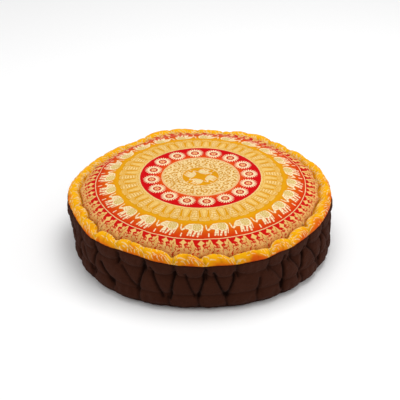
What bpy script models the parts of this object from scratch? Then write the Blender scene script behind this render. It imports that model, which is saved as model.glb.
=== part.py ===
"""A round floor pouf: a printed cotton top, a plain band with its filling, and a plain base.

Metres, +Z up. The origin is on the floor under the middle of the pouf, and the front faces -Y.
A turn is an angle round the pouf in degrees, 0 at the front and positive towards +X.
The top and bottom edges are sewn into padded rolls. Each roll is a chain of puffs between stitches,
and tucks in the band run down from each upper stitch to the two lower stitches nearest to it.
"""

import math
import random
from typing import NamedTuple

import bmesh
import bpy

# Driving dimensions
CROWN_HEIGHT = 0.160
CROWN_DROP = 0.030
CROWN_REACH = 0.262
CROWN_POWER = 5
CLOTH = 0.002
GAP = 0.0003

# Rings of the crown between its middle and the lip of the groove
CROWN_RINGS = (0.110, 0.180, 0.225)

# Each stitch of the rolls starts a puff of this many columns of the mesh
STITCHES = 28
COLUMNS_PER_STITCH = 5
PUFF_POWER = 0.7

# The band between the two stitch lines has this many rows of faces, so a slanting tuck runs from
# corner to corner of its cells
BAND_ROWS = COLUMNS_PER_STITCH
BAND_BULGE = 0.003
BAND_SET_BACK = 0.003
TUCK_MIDDLE_SHARE = 0.55

# Making of the meshes
MERGE_WITHIN = 0.00002
SHARP_ANGLE = 60


class Outline(NamedTuple):
    """The plan of the pouf at one turn: reach of the two rolls, and height of the upper seam."""

    turn: float
    rim: float
    base: float
    seam: float


OUTLINE = (
    Outline(turn=0, rim=0.301, base=0.308, seam=0.114),
    Outline(turn=25, rim=0.304, base=0.311, seam=0.114),
    Outline(turn=45, rim=0.297, base=0.310, seam=0.112),
    Outline(turn=66, rim=0.298, base=0.306, seam=0.112),
    Outline(turn=90, rim=0.301, base=0.299, seam=0.113),
    Outline(turn=115, rim=0.301, base=0.297, seam=0.113),
    Outline(turn=135, rim=0.297, base=0.296, seam=0.112),
    Outline(turn=154, rim=0.304, base=0.298, seam=0.114),
    Outline(turn=175, rim=0.297, base=0.296, seam=0.113),
    Outline(turn=198, rim=0.306, base=0.299, seam=0.114),
    Outline(turn=212, rim=0.293, base=0.293, seam=0.111),
    Outline(turn=230, rim=0.292, base=0.291, seam=0.110),
    Outline(turn=248, rim=0.296, base=0.292, seam=0.111),
    Outline(turn=268, rim=0.306, base=0.295, seam=0.112),
    Outline(turn=290, rim=0.302, base=0.303, seam=0.113),
    Outline(turn=311, rim=0.305, base=0.312, seam=0.115),
    Outline(turn=329, rim=0.298, base=0.313, seam=0.119),
    Outline(turn=345, rim=0.301, base=0.311, seam=0.115),
)


class RollPoint(NamedTuple):
    """A point of a roll's section: how far in and up it lies, at a stitch and in the middle of a puff."""

    stitch_in: float
    puff_in: float
    stitch_up: float
    puff_up: float


# From the lip of the crown through the groove and over the roll to the upper seam, up from that seam
UPPER_ROLL_TOP = (
    RollPoint(stitch_in=0.040, puff_in=0.049, stitch_up=0.014, puff_up=0.019),
    RollPoint(stitch_in=0.031, puff_in=0.040, stitch_up=0.006, puff_up=0.011),
    RollPoint(stitch_in=0.025, puff_in=0.034, stitch_up=0.012, puff_up=0.017),
    RollPoint(stitch_in=0.017, puff_in=0.021, stitch_up=0.017, puff_up=0.020),
    RollPoint(stitch_in=0.008, puff_in=0.006, stitch_up=0.011, puff_up=0.012),
    RollPoint(stitch_in=0.004, puff_in=0.001, stitch_up=-0.003, puff_up=0.000),
)

# From below the upper seam to the upper stitch line, up from that seam
UPPER_ROLL_SIDE = (
    RollPoint(stitch_in=0.004, puff_in=-0.001, stitch_up=-0.011, puff_up=-0.011),
    RollPoint(stitch_in=0.008, puff_in=0.001, stitch_up=-0.019, puff_up=-0.022),
    RollPoint(stitch_in=0.016, puff_in=0.005, stitch_up=-0.026, puff_up=-0.031),
)

# From the lower stitch line to the lower seam, up from the floor
LOWER_ROLL_SIDE = (
    RollPoint(stitch_in=0.017, puff_in=0.006, stitch_up=0.036, puff_up=0.040),
    RollPoint(stitch_in=0.008, puff_in=0.002, stitch_up=0.030, puff_up=0.030),
    RollPoint(stitch_in=0.004, puff_in=0.000, stitch_up=0.018, puff_up=0.018),
    RollPoint(stitch_in=0.008, puff_in=0.003, stitch_up=0.009, puff_up=0.009),
)

# The lower roll's flat foot, the groove inside it and the edge of the flat middle, up from the floor
UNDERSIDE = (
    RollPoint(stitch_in=0.018, puff_in=0.018, stitch_up=0.000, puff_up=0.000),
    RollPoint(stitch_in=0.036, puff_in=0.036, stitch_up=0.008, puff_up=0.004),
    RollPoint(stitch_in=0.052, puff_in=0.052, stitch_up=0.000, puff_up=0.000),
)


class Tuft(NamedTuple):
    """A pair of stitches, upper and lower, and the depths of the two tucks that leave the upper one."""

    upper: float
    lower: float
    straight: float
    slant: float


FRONT_TUFTS = (
    Tuft(upper=-62.5, lower=-64.5, straight=0.008, slant=0.005),
    Tuft(upper=-49.5, lower=-51.0, straight=0.010, slant=0.008),
    Tuft(upper=-36.7, lower=-38.0, straight=0.005, slant=0.006),
    Tuft(upper=-23.7, lower=-25.6, straight=0.009, slant=0.007),
    Tuft(upper=-10.7, lower=-13.0, straight=0.009, slant=0.007),
    Tuft(upper=2.4, lower=-1.0, straight=0.009, slant=0.009),
    Tuft(upper=15.5, lower=10.3, straight=0.009, slant=0.004),
    Tuft(upper=29.0, lower=23.0, straight=0.006, slant=0.005),
    Tuft(upper=40.5, lower=35.0, straight=0.009, slant=0.005),
    Tuft(upper=54.0, lower=46.5, straight=0.009, slant=0.009),
    Tuft(upper=66.5, lower=59.5, straight=0.008, slant=0.007),
)
HIDDEN_TUFT_DEPTHS = ((0.009, 0.006), (0.007, 0.008), (0.010, 0.005))
HIDDEN_TUFT_WANDER = 1.2
HIDDEN_TUFT_SEED = 11


class Station(NamedTuple):
    """A point of one column's section. Order is its place along the skin from the middle of the top."""

    turn: float
    radius: float
    height: float
    order: int = 0


class Skin(NamedTuple):
    """One column's skin, from the middle of the top round to the middle of the base."""

    stations: list
    upper_seam: int
    lower_seam: int


def mix(start, end, share):
    """The value this share of the way from start to end."""
    return start + (end - start) * share


def outline_at(turn):
    """The outline at any turn, on a smooth closed curve through the rows of OUTLINE."""
    turn = turn % 360
    count = len(OUTLINE)
    found = max(row for row in range(count) if OUTLINE[row].turn <= turn)
    rows = [OUTLINE[(found + step) % count] for step in (-1, 0, 1, 2)]
    span = (rows[2].turn - rows[1].turn) % 360
    share = (turn - rows[1].turn) / span

    def curve(field):
        before, start, end, after = (getattr(row, field) for row in rows)
        bend = 2 * before - 5 * start + 4 * end - after
        twist = 3 * start - before - 3 * end + after
        return start + 0.5 * share * (end - before + share * (bend + share * twist))

    return Outline(turn, curve("rim"), curve("base"), curve("seam"))


def all_tufts():
    """The tufts that the front view shows, then evenly spread ones with a little wander round the back."""
    wander = random.Random(HIDDEN_TUFT_SEED)
    hidden = STITCHES - len(FRONT_TUFTS)
    last, first = FRONT_TUFTS[-1], FRONT_TUFTS[0]
    tufts = list(FRONT_TUFTS)
    for number in range(1, hidden + 1):
        share = number / (hidden + 1)
        straight, slant = HIDDEN_TUFT_DEPTHS[number % len(HIDDEN_TUFT_DEPTHS)]
        upper = mix(last.upper, first.upper + 360, share)
        lower = mix(last.lower, first.lower + 360, share)
        tufts.append(
            Tuft(
                upper + wander.uniform(-HIDDEN_TUFT_WANDER, HIDDEN_TUFT_WANDER),
                lower + wander.uniform(-HIDDEN_TUFT_WANDER, HIDDEN_TUFT_WANDER),
                straight,
                slant,
            )
        )
    return tufts


def crown_height(radius):
    """Height of the stuffed top at this radius: nearly flat in the middle, falling towards the groove."""
    return CROWN_HEIGHT - CROWN_DROP * (radius / CROWN_REACH) ** CROWN_POWER


def roll_stations(points, turn, edge, level, puff):
    """The points of a roll on one column. Puff is 0 at a stitch and near 1 between two."""
    return [
        Station(
            turn,
            edge - mix(point.stitch_in, point.puff_in, puff),
            level + mix(point.stitch_up, point.puff_up, puff),
        )
        for point in points
    ]


def band(top, bottom, tufts, stitch, step):
    """The band's rows at one column, bulging between the tucks that cross it."""
    straight = tufts[stitch].straight
    slant = tufts[stitch].slant
    rows = []
    for row in range(1, BAND_ROWS):
        share = row / BAND_ROWS
        turn = mix(top.turn, bottom.turn, share)
        plan = outline_at(turn)
        flat = mix(plan.rim, plan.base, share) - BAND_SET_BACK
        ends = abs(2 * share - 1)
        depth = mix(TUCK_MIDDLE_SHARE, 1.0, ends)
        radius = flat + BAND_BULGE * math.sin(math.pi * share)
        if step == 0:
            radius -= straight * depth
        elif step == row:
            radius -= slant * depth
        rows.append(Station(turn, radius, mix(top.height, bottom.height, share)))
    return rows


def skin_at(tufts, stitch, step):
    """The whole outer skin on one column: the step-th one of the puff after this stitch."""
    share = step / COLUMNS_PER_STITCH
    after = tufts[(stitch + 1) % STITCHES]
    upper_span = (after.upper - tufts[stitch].upper) % 360
    lower_span = (after.lower - tufts[stitch].lower) % 360
    upper = tufts[stitch].upper + upper_span * share
    lower = tufts[stitch].lower + lower_span * share
    puff = math.sin(math.pi * share) ** PUFF_POWER
    rim, seam = outline_at(upper).rim, outline_at(upper).seam
    base = outline_at(lower).base
    top = [Station(upper, radius, crown_height(radius)) for radius in (0.0, *CROWN_RINGS)]
    top += roll_stations(UPPER_ROLL_TOP, upper, rim, seam, puff)
    side = roll_stations(UPPER_ROLL_SIDE, upper, rim, seam, puff)
    foot = roll_stations(LOWER_ROLL_SIDE, lower, base, 0.0, puff)
    side += band(side[-1], foot[0], tufts, stitch, step) + foot
    bottom = roll_stations(UNDERSIDE, lower, base, 0.0, puff) + [Station(lower, 0.0, 0.0)]
    skin = [point._replace(order=order) for order, point in enumerate(top + side + bottom)]
    return Skin(skin, len(top) - 1, len(top) + len(side) - 1)


def segment_normal(start, end):
    """The outward unit normal of a stretch of the section, as (radial, vertical)."""
    along = (end.radius - start.radius, end.height - start.height)
    length = math.hypot(*along)
    return -along[1] / length, along[0] / length


def inset(stations, number, depth):
    """The point this far under the skin at one station, square to the section there."""
    here = stations[number]
    if here.radius == 0.0:
        inward = -depth if number == 0 else depth
        return here._replace(height=here.height + inward)
    before = segment_normal(stations[number - 1], here)
    after = segment_normal(here, stations[number + 1])
    across = (before[0] + after[0], before[1] + after[1])
    length = math.hypot(*across)
    return here._replace(
        radius=here.radius - depth * across[0] / length,
        height=here.height - depth * across[1] / length,
    )


def slide(point, start, end, distance):
    """The point moved this far along the direction from start to end."""
    along = (end.radius - start.radius, end.height - start.height)
    length = math.hypot(*along)
    return point._replace(
        radius=point.radius + distance * along[0] / length,
        height=point.height + distance * along[1] / length,
    )


def top_panel_section(skin):
    """The printed cloth: the skin down to the upper seam, and back under itself."""
    rows = range(skin.upper_seam + 1)
    return skin.stations[: skin.upper_seam + 1] + [
        inset(skin.stations, number, CLOTH) for number in reversed(rows)
    ]


def bottom_panel_section(skin):
    """The base cloth: from its middle out over itself to the lower seam, and back along the floor."""
    rows = range(skin.lower_seam, len(skin.stations))
    over = [inset(skin.stations, number, CLOTH) for number in reversed(rows)]
    return over + skin.stations[skin.lower_seam :]


def filled_band_section(skin):
    """The filled body: the band's own skin, stepped in at both seams to lie just under the panels."""
    stations, upper, lower = skin
    under = CLOTH + GAP
    below_top = [inset(stations, number, under) for number in range(upper)]
    above_base = [inset(stations, number, under) for number in range(lower + 1, len(stations))]
    upper_pair = (stations[upper], stations[upper + 1])
    lower_pair = (stations[lower], stations[lower - 1])
    return [
        *below_top,
        slide(inset(stations, upper, under), *upper_pair, GAP),
        slide(stations[upper], *upper_pair, GAP),
        *stations[upper + 1 : lower],
        slide(stations[lower], *lower_pair, GAP),
        slide(inset(stations, lower, under), *lower_pair, GAP),
        *above_base,
    ]


def place(station, centre):
    """The station as a point in the pouf's frame."""
    if station.radius == 0.0:
        return 0.0, 0.0, station.height
    angle = math.radians(station.turn)
    x = station.radius * math.sin(angle) - centre[0]
    y = -station.radius * math.cos(angle) - centre[1]
    return x, y, station.height


def plan_centre(skins):
    """The middle of the pouf's plan, from the widest reach of all its sections."""
    points = [place(station, (0.0, 0.0)) for skin in skins for station in skin.stations]
    return [(min(p[axis] for p in points) + max(p[axis] for p in points)) / 2 for axis in (0, 1)]


def cotton(name, colour, roughness):
    """A matt cotton material."""
    material = bpy.data.materials.new(name)
    material.use_nodes = True
    shader = material.node_tree.nodes["Principled BSDF"]
    shader.inputs["Base Color"].default_value = (*colour, 1.0)
    shader.inputs["Roughness"].default_value = roughness
    shader.inputs["Metallic"].default_value = 0.0
    return material


def split_cells(form, row_of, sections):
    """Splits every cell along the way a slanting tuck runs, so nested skins have the same facets."""
    columns = len(sections)
    column_step = 2 * math.pi / columns

    def column(vertex):
        return round(math.atan2(vertex.co.y, vertex.co.x) / column_step) % columns

    def order(vertex):
        row = vertex[row_of]
        return sections[0][row].order, row

    for face in [face for face in form.faces if len(face.verts) == 4]:
        found = {column(vertex) for vertex in face.verts}
        left = next(number for number in found if (number + 1) % columns in found)
        start = min((v for v in face.verts if column(v) == left), key=order)
        end = max((v for v in face.verts if column(v) != left), key=order)
        bmesh.utils.face_split(face, start, end)


def turned_solid(name, sections, centre, material, collection):
    """Spins a section into a closed grid of columns, then moves every column onto its own section."""
    columns = len(sections)
    form = bmesh.new()
    row_of = form.verts.layers.int.new("row")
    profile = [form.verts.new((station.radius, 0.0, station.height)) for station in sections[0]]
    for row, vertex in enumerate(profile):
        vertex[row_of] = row
    edges = [form.edges.new(pair) for pair in zip(profile, profile[1:])]
    bmesh.ops.spin(
        form,
        geom=profile + edges,
        cent=(0.0, 0.0, 0.0),
        axis=(0.0, 0.0, 1.0),
        angle=2 * math.pi,
        steps=columns,
        use_merge=True,
    )
    bmesh.ops.remove_doubles(form, verts=form.verts[:], dist=MERGE_WITHIN)
    split_cells(form, row_of, sections)
    for vertex in form.verts:
        angle = math.atan2(vertex.co.y, vertex.co.x)
        column = round(angle / (2 * math.pi) * columns) % columns
        vertex.co = place(sections[column][vertex[row_of]], centre)
    bmesh.ops.recalc_face_normals(form, faces=form.faces[:])
    if form.calc_volume(signed=True) < 0:
        bmesh.ops.reverse_faces(form, faces=form.faces[:])
    mesh = bpy.data.meshes.new(name)
    form.to_mesh(mesh)
    form.free()
    mesh.materials.append(material)
    mesh.shade_smooth()
    mesh.set_sharp_from_angle(angle=math.radians(SHARP_ANGLE))
    solid = bpy.data.objects.new(name, mesh)
    collection.objects.link(solid)
    return solid


def main():
    """Builds the three sewn pieces of the pouf."""
    for old in list(bpy.data.objects):
        bpy.data.objects.remove(old)
    collection = bpy.data.collections.new("floor_pouf")
    bpy.context.scene.collection.children.link(collection)

    tufts = all_tufts()
    skins = [
        skin_at(tufts, stitch, step)
        for stitch in range(STITCHES)
        for step in range(COLUMNS_PER_STITCH)
    ]
    centre = plan_centre(skins)
    printed = cotton("printed_cotton", (0.86, 0.42, 0.05), 0.85)
    plain = cotton("brown_cotton", (0.050, 0.022, 0.018), 0.90)

    pieces = (
        ("top_panel", top_panel_section, printed),
        ("filled_band", filled_band_section, plain),
        ("bottom_panel", bottom_panel_section, plain),
    )
    for name, section_of, material in pieces:
        sections = [section_of(skin) for skin in skins]
        turned_solid(name, sections, centre, material, collection)


main()
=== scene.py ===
"""The looks of a round floor pouf: a block-printed cotton top over a plain dark brown band and base.

Metres, +Z up, origin on the floor under the middle of the pouf, front towards -Y. A turn is an angle
round the pouf in degrees, 0 at the front and positive towards +X. The skin is one closed grid of
columns (round the pouf) and rows (from the middle of the top to the middle of the base). It is placed,
settled by a short cloth simulation and then cut at its two seams into the three sewn pieces.
"""

import logging
import math
import random
from collections.abc import Callable, Sequence
from dataclasses import dataclass, field
from enum import Enum
from typing import NamedTuple

import bmesh
import bpy
import numpy as np
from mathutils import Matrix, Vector

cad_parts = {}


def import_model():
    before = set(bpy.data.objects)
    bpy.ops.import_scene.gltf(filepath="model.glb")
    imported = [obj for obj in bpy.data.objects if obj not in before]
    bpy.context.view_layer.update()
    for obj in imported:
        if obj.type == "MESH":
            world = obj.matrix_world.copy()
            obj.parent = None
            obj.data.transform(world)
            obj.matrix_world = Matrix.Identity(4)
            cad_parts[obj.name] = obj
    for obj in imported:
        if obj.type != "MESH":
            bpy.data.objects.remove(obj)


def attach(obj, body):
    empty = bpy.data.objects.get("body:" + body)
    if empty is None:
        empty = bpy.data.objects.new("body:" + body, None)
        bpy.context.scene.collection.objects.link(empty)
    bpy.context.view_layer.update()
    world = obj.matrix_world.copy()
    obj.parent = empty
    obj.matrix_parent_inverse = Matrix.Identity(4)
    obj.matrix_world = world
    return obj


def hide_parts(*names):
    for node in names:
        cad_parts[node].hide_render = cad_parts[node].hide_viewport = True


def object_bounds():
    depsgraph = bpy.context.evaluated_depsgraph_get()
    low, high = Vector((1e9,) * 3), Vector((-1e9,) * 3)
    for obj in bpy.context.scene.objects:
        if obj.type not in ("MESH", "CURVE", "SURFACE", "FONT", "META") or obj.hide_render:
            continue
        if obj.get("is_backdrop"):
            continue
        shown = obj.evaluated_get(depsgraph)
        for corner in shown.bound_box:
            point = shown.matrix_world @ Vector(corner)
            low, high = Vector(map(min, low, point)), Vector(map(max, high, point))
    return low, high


LOG = logging.getLogger("floor_pouf")

# Driving dimensions
CROWN_HEIGHT = 0.160
CROWN_DROP = 0.030
CROWN_REACH = 0.262
CROWN_POWER = 5
STITCHES = 28
STEPS_PER_STITCH = 16
PUFF_POWER = 0.6
FULL_PULL = 0.009
BAND_BULGE = 0.003
BAND_SET_BACK = 0.003
MEAN_REACH = 0.300
MEAN_SEAM = 0.112
SEAM_WANDER = 0.0009
SIDE_SLACK = 1.12


class Outline(NamedTuple):
    """The plan of the pouf at one turn: reach of the two rolls, and height of the upper seam."""

    turn: float
    rim: float
    base: float
    seam: float


OUTLINE = (
    Outline(0, 0.301, 0.308, 0.110),
    Outline(25, 0.304, 0.311, 0.111),
    Outline(45, 0.297, 0.310, 0.110),
    Outline(66, 0.298, 0.306, 0.111),
    Outline(90, 0.301, 0.299, 0.113),
    Outline(115, 0.301, 0.297, 0.113),
    Outline(135, 0.297, 0.296, 0.112),
    Outline(154, 0.304, 0.298, 0.114),
    Outline(175, 0.297, 0.296, 0.113),
    Outline(198, 0.306, 0.299, 0.114),
    Outline(212, 0.293, 0.293, 0.111),
    Outline(230, 0.292, 0.291, 0.110),
    Outline(248, 0.296, 0.292, 0.111),
    Outline(268, 0.305, 0.291, 0.112),
    Outline(290, 0.300, 0.297, 0.113),
    Outline(311, 0.305, 0.308, 0.112),
    Outline(329, 0.298, 0.313, 0.115),
    Outline(345, 0.301, 0.311, 0.111),
)


class Station(NamedTuple):
    """A point of the section: how far in and up it lies at a stitch and in a puff, and the rows before it."""

    stitch_in: float
    puff_in: float
    stitch_up: float
    puff_up: float
    rows: int


class CrownRing(NamedTuple):
    """A ring of the crown: its radius, and the rows of the grid between it and the ring before."""

    radius: float
    rows: int


CROWN_RINGS = (
    CrownRing(0.060, 5),
    CrownRing(0.110, 4),
    CrownRing(0.150, 3),
    CrownRing(0.180, 3),
    CrownRing(0.205, 3),
    CrownRing(0.228, 3),
)

# From the lip of the crown through the groove and over the roll to the upper seam, up from that seam
UPPER_ROLL_TOP = (
    Station(0.027, 0.037, 0.014, 0.018, 4),
    Station(0.022, 0.032, 0.002, 0.006, 3),
    Station(0.018, 0.028, 0.006, 0.014, 3),
    Station(0.012, 0.017, 0.009, 0.018, 3),
    Station(0.006, 0.006, 0.006, 0.012, 4),
    Station(0.004, 0.001, -0.003, 0.000, 4),
)
# How far each of those stations follows the side's stitches instead of the groove's
ROLL_LEAN = (0.0, 0.0, 0.1, 0.4, 0.8, 1.0)

# From below the upper seam to the upper stitch line, up from that seam
UPPER_ROLL_SIDE = (
    Station(0.004, -0.001, -0.011, -0.011, 3),
    Station(0.006, 0.000, -0.019, -0.023, 3),
    Station(0.010, 0.003, -0.025, -0.031, 3),
)

# The band between the two stitch lines, as shares of the way down and rows before each
BAND_SHARES = (0.25, 0.50, 0.75)
BAND_STRETCH_ROWS = 3

# From the lower stitch line to the lower seam, up from the floor
LOWER_ROLL_SIDE = (
    Station(0.010, 0.003, 0.036, 0.040, 3),
    Station(0.006, 0.001, 0.030, 0.031, 3),
    Station(0.004, 0.000, 0.018, 0.018, 4),
    Station(0.008, 0.003, 0.009, 0.009, 3),
)

# The lower roll's flat foot, the groove inside it and the edge of the flat middle, up from the floor
UNDERSIDE = (
    Station(0.018, 0.018, 0.000, 0.000, 4),
    Station(0.036, 0.036, 0.008, 0.004, 4),
    Station(0.052, 0.052, 0.000, 0.000, 4),
)
BASE_MIDDLE_ROWS = 8


class Tuft(NamedTuple):
    """One stitch of the groove, the upper and the lower line, and how deep it pulls the roll and the side."""

    groove: float
    upper: float
    lower: float
    cusp: float
    pull: float


FRONT_TUFTS = (
    Tuft(-64.0, -62.5, -64.5, 0.006, 0.008),
    Tuft(-52.5, -49.5, -51.0, 0.010, 0.010),
    Tuft(-40.8, -36.7, -38.0, 0.007, 0.007),
    Tuft(-26.5, -23.7, -25.6, 0.003, 0.009),
    Tuft(-13.0, -10.7, -13.0, 0.010, 0.009),
    Tuft(-1.0, 2.4, -1.0, 0.008, 0.009),
    Tuft(11.2, 15.5, 10.3, 0.008, 0.009),
    Tuft(32.4, 29.0, 23.0, 0.008, 0.006),
    Tuft(44.0, 40.5, 35.0, 0.006, 0.009),
    Tuft(57.2, 54.0, 46.5, 0.009, 0.009),
    Tuft(69.0, 66.5, 59.5, 0.003, 0.008),
)
HIDDEN_PULLS = (0.009, 0.007, 0.010)
HIDDEN_CUSP_SHARE = 0.55
HIDDEN_TUFT_WANDER = 1.2
HIDDEN_TUFT_SEED = 11


class Fold(NamedTuple):
    """A tuck in the band: turn and height of its upper and lower ends, its depth and its width."""

    top_turn: float
    top: float
    low_turn: float
    low: float
    depth: float
    width: float


FRONT_FOLDS = (
    Fold(-62.0, 0.090, -64.2, 0.034, 0.006, 0.0050),
    Fold(-58.5, 0.074, -51.5, 0.036, 0.004, 0.0060),
    Fold(-49.2, 0.098, -49.6, 0.036, 0.008, 0.0042),
    Fold(-45.5, 0.069, -37.3, 0.031, 0.007, 0.0050),
    Fold(-36.7, 0.104, -36.9, 0.082, 0.006, 0.0040),
    Fold(-34.4, 0.078, -25.6, 0.041, 0.005, 0.0060),
    Fold(-23.8, 0.104, -25.9, 0.040, 0.008, 0.0040),
    Fold(-21.3, 0.094, -14.8, 0.039, 0.006, 0.0045),
    Fold(-10.7, 0.092, -12.3, 0.036, 0.008, 0.0040),
    Fold(-6.4, 0.091, -2.1, 0.044, 0.005, 0.0050),
    Fold(2.4, 0.104, -0.9, 0.040, 0.008, 0.0038),
    Fold(5.4, 0.094, 10.3, 0.040, 0.007, 0.0042),
    Fold(14.4, 0.092, 10.5, 0.040, 0.007, 0.0042),
    Fold(24.8, 0.072, 23.4, 0.038, 0.005, 0.0050),
    Fold(28.9, 0.094, 34.6, 0.052, 0.003, 0.0070),
    Fold(37.6, 0.099, 35.0, 0.030, 0.008, 0.0045),
    Fold(41.5, 0.094, 46.0, 0.046, 0.005, 0.0055),
    Fold(50.4, 0.092, 44.4, 0.038, 0.008, 0.0045),
    Fold(53.2, 0.097, 58.5, 0.036, 0.008, 0.0045),
    Fold(66.9, 0.098, 60.5, 0.038, 0.007, 0.0050),
    Fold(68.2, 0.086, 71.5, 0.034, 0.006, 0.0055),
)
FRONT_REACH = 72.0
HIDDEN_FOLD_TOP = 0.094
HIDDEN_FOLD_LOW = 0.038
HIDDEN_FOLD_WIDTH = 0.0048
# A hidden fold's depth as a share of its stitch's pull, and a slanting one's as a share of that
HIDDEN_FOLD_DEPTH = 0.8
SLANT_DEPTH = 0.75
# How many degrees a slanting fold starts after its upper stitch, and ends before the next lower one
SLANT_START = 1.5
SLANT_END = 1.0


class Crease(NamedTuple):
    """A sharp line in the cloth: its ends as turn and distance below the upper seam, and its depth."""

    start_turn: float
    start: float
    end_turn: float
    end: float
    depth: float


class Waves(NamedTuple):
    """An uneven wave round the pouf: its fewest and most waves in a full turn, and its seed."""

    fewest: int
    most: int
    seed: int


SEAM_WAVES = Waves(11, 35, 21)
ROLL_GATHERS = Waves(70, 130, 3)
FOOT_GATHERS = Waves(60, 110, 5)
BAND_GATHERS = Waves(40, 90, 9)
CROWN_SWELLS = Waves(9, 33, 7)
# The gathers are strongest at the left of the pouf, and fade away from there
MOST_GATHERED_TURN = 275
GATHERS_FADE = 45
LEAST_GATHERED = 0.45
# The gathers of the foot and the band, as a share of the upper roll's
SIDE_GATHERS = 0.6
# The band's gathers slant: degrees sideways for each metre up from the middle of the band
BAND_MIDDLE = 0.06
GATHERS_SLANT = 800

# The print's edge is drawn to the groove: where that starts, and where the groove lies on the print
DRAWN_FROM = 0.242
GROOVE_ON_PRINT = 0.2825

# Along the cloth: the groove's distance above the upper seam, and where creases start or end below it
GROOVE_ABOVE_SEAM = 0.055
ROLL_TUCK_END = -0.008
CUSP_CREASE_END = -0.006
HANGING_CREASE = (0.004, 0.032)
LOWER_CREASE = (0.084, 0.110)
# How a crease leans: a share of the way to the upper stitch, and degrees past the lower stitch
CUSP_CREASE_LEAN = 0.85
LOWER_CREASE_LEAN = 0.6
# How deep the creases are: in themselves, or as shares of their fold, their cusp or their stitch's pull
ROLL_TUCK_DEPTH = 0.0016
FOLD_CREASE = 0.85
CUSP_CREASE = 0.27
PULL_CREASE = 0.45
CREASE_WIDTH = 0.0024
# The crease depth at which the painted shade in a tuck is at its full
FULL_TUCK = 0.0045
# Extra tucks that run out from the groove over the roll, as turn at the groove and at the seam
ROLL_TUCKS = (
    (-58.0, -56.5),
    (-46.5, -44.0),
    (-33.0, -31.0),
    (-4.6, -6.0),
    (6.0, 8.5),
    (19.4, 20.5),
    (26.0, 24.0),
    (38.6, 36.5),
)


def mix(start: float, end: float, share: float) -> float:
    """Gives the value this share of the way from start to end."""
    return start + (end - start) * share


def closed_curve(turns: np.ndarray, knots: Sequence[float], values: Sequence[float]) -> np.ndarray:
    """Reads a smooth closed curve through a value at each knot.

    Args:
        turns: Angles to read at, in degrees.
        knots: Rising angles of the values, within one turn.
        values: The value at each knot.

    Returns:
        The curve's values at the turns.
    """
    count = len(knots)
    knot = np.asarray(knots, float)
    value = np.asarray(values, float)
    around = np.mod(turns, 360.0)
    found = np.searchsorted(knot, around, side="right") - 1
    before, start, end, after = (value[(found + step) % count] for step in (-1, 0, 1, 2))
    span = np.mod(knot[(found + 1) % count] - knot[found], 360.0)
    share = (around - knot[found]) / span
    bend = 2 * before - 5 * start + 4 * end - after
    twist = 3 * start - before - 3 * end + after
    return start + 0.5 * share * (end - before + share * (bend + share * twist))


def from_line(
    turn: np.ndarray, down: np.ndarray, start: tuple[float, float], end: tuple[float, float]
) -> tuple[np.ndarray, np.ndarray]:
    """Measures how far points of the skin lie from a straight line on it.

    Args:
        turn: The points' turns.
        down: Their distances below the upper seam.
        start: The turn and the distance below the seam where the line starts.
        end: The same where it ends.

    Returns:
        The distance from the line, and the share of the way along it.
    """
    along = math.radians(end[0] - start[0]) * MEAN_REACH
    drop = end[1] - start[1]
    x = np.radians(np.mod(turn - start[0] + 180, 360) - 180) * MEAN_REACH
    z = down - start[1]
    share = np.clip((x * along + z * drop) / (along**2 + drop**2), 0, 1)
    return np.hypot(x - share * along, z - share * drop), share


def smooth_section(stations: np.ndarray, rows: Sequence[int]) -> np.ndarray:
    """Runs a smooth curve through the stations of every column.

    Args:
        stations: An array of columns by stations by (turn, radius, height).
        rows: The number of rows from each station to the next.

    Returns:
        An array of columns by grid rows by (turn, radius, height).
    """
    first = 2 * stations[:, :1] - stations[:, 1:2]
    last = 2 * stations[:, -1:] - stations[:, -2:-1]
    ends = np.concatenate([first, stations, last], axis=1)
    span = np.linalg.norm(np.diff(ends[:, :, 1:], axis=1), axis=2) ** 0.5 + 1e-9
    made = [stations[:, 0]]
    for number, count in enumerate(rows):
        before, start, end, after = (ends[:, number + step] for step in range(4))
        one, two, three = (span[:, number + step, None] for step in range(3))
        leave = (start - before) / one - (end - before) / (one + two) + (end - start) / two
        arrive = (end - start) / two - (after - start) / (two + three) + (after - end) / three
        leave, arrive = leave * two, arrive * two
        for step in range(1, count + 1):
            share = step / count
            square, cube = share**2, share**3
            made.append(
                (2 * cube - 3 * square + 1) * start
                + (cube - 2 * square + share) * leave
                + (3 * square - 2 * cube) * end
                + (cube - square) * arrive
            )
    return np.stack(made, axis=1)


def ripple(turns: np.ndarray, waves: Waves) -> np.ndarray:
    """Makes an uneven wave round the pouf from whole numbers of waves, so that it closes.

    Args:
        turns: Angles in degrees.
        waves: How many waves there are, and the wave's seed.

    Returns:
        Values mostly between -1 and 1.
    """
    wander = random.Random(waves.seed)
    angle = np.radians(turns)
    step = max(1, (waves.most - waves.fewest) // 12)
    numbers = range(waves.fewest, waves.most + 1, step)
    total = sum(np.cos(number * angle + wander.uniform(0, 2 * math.pi)) for number in numbers)
    return total / math.sqrt(len(numbers))


class Columns(NamedTuple):
    """Each column's turn at the groove and both stitch lines, and how puffed its roll and side are."""

    groove: np.ndarray
    upper: np.ndarray
    lower: np.ndarray
    roll: np.ndarray
    side: np.ndarray


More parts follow.
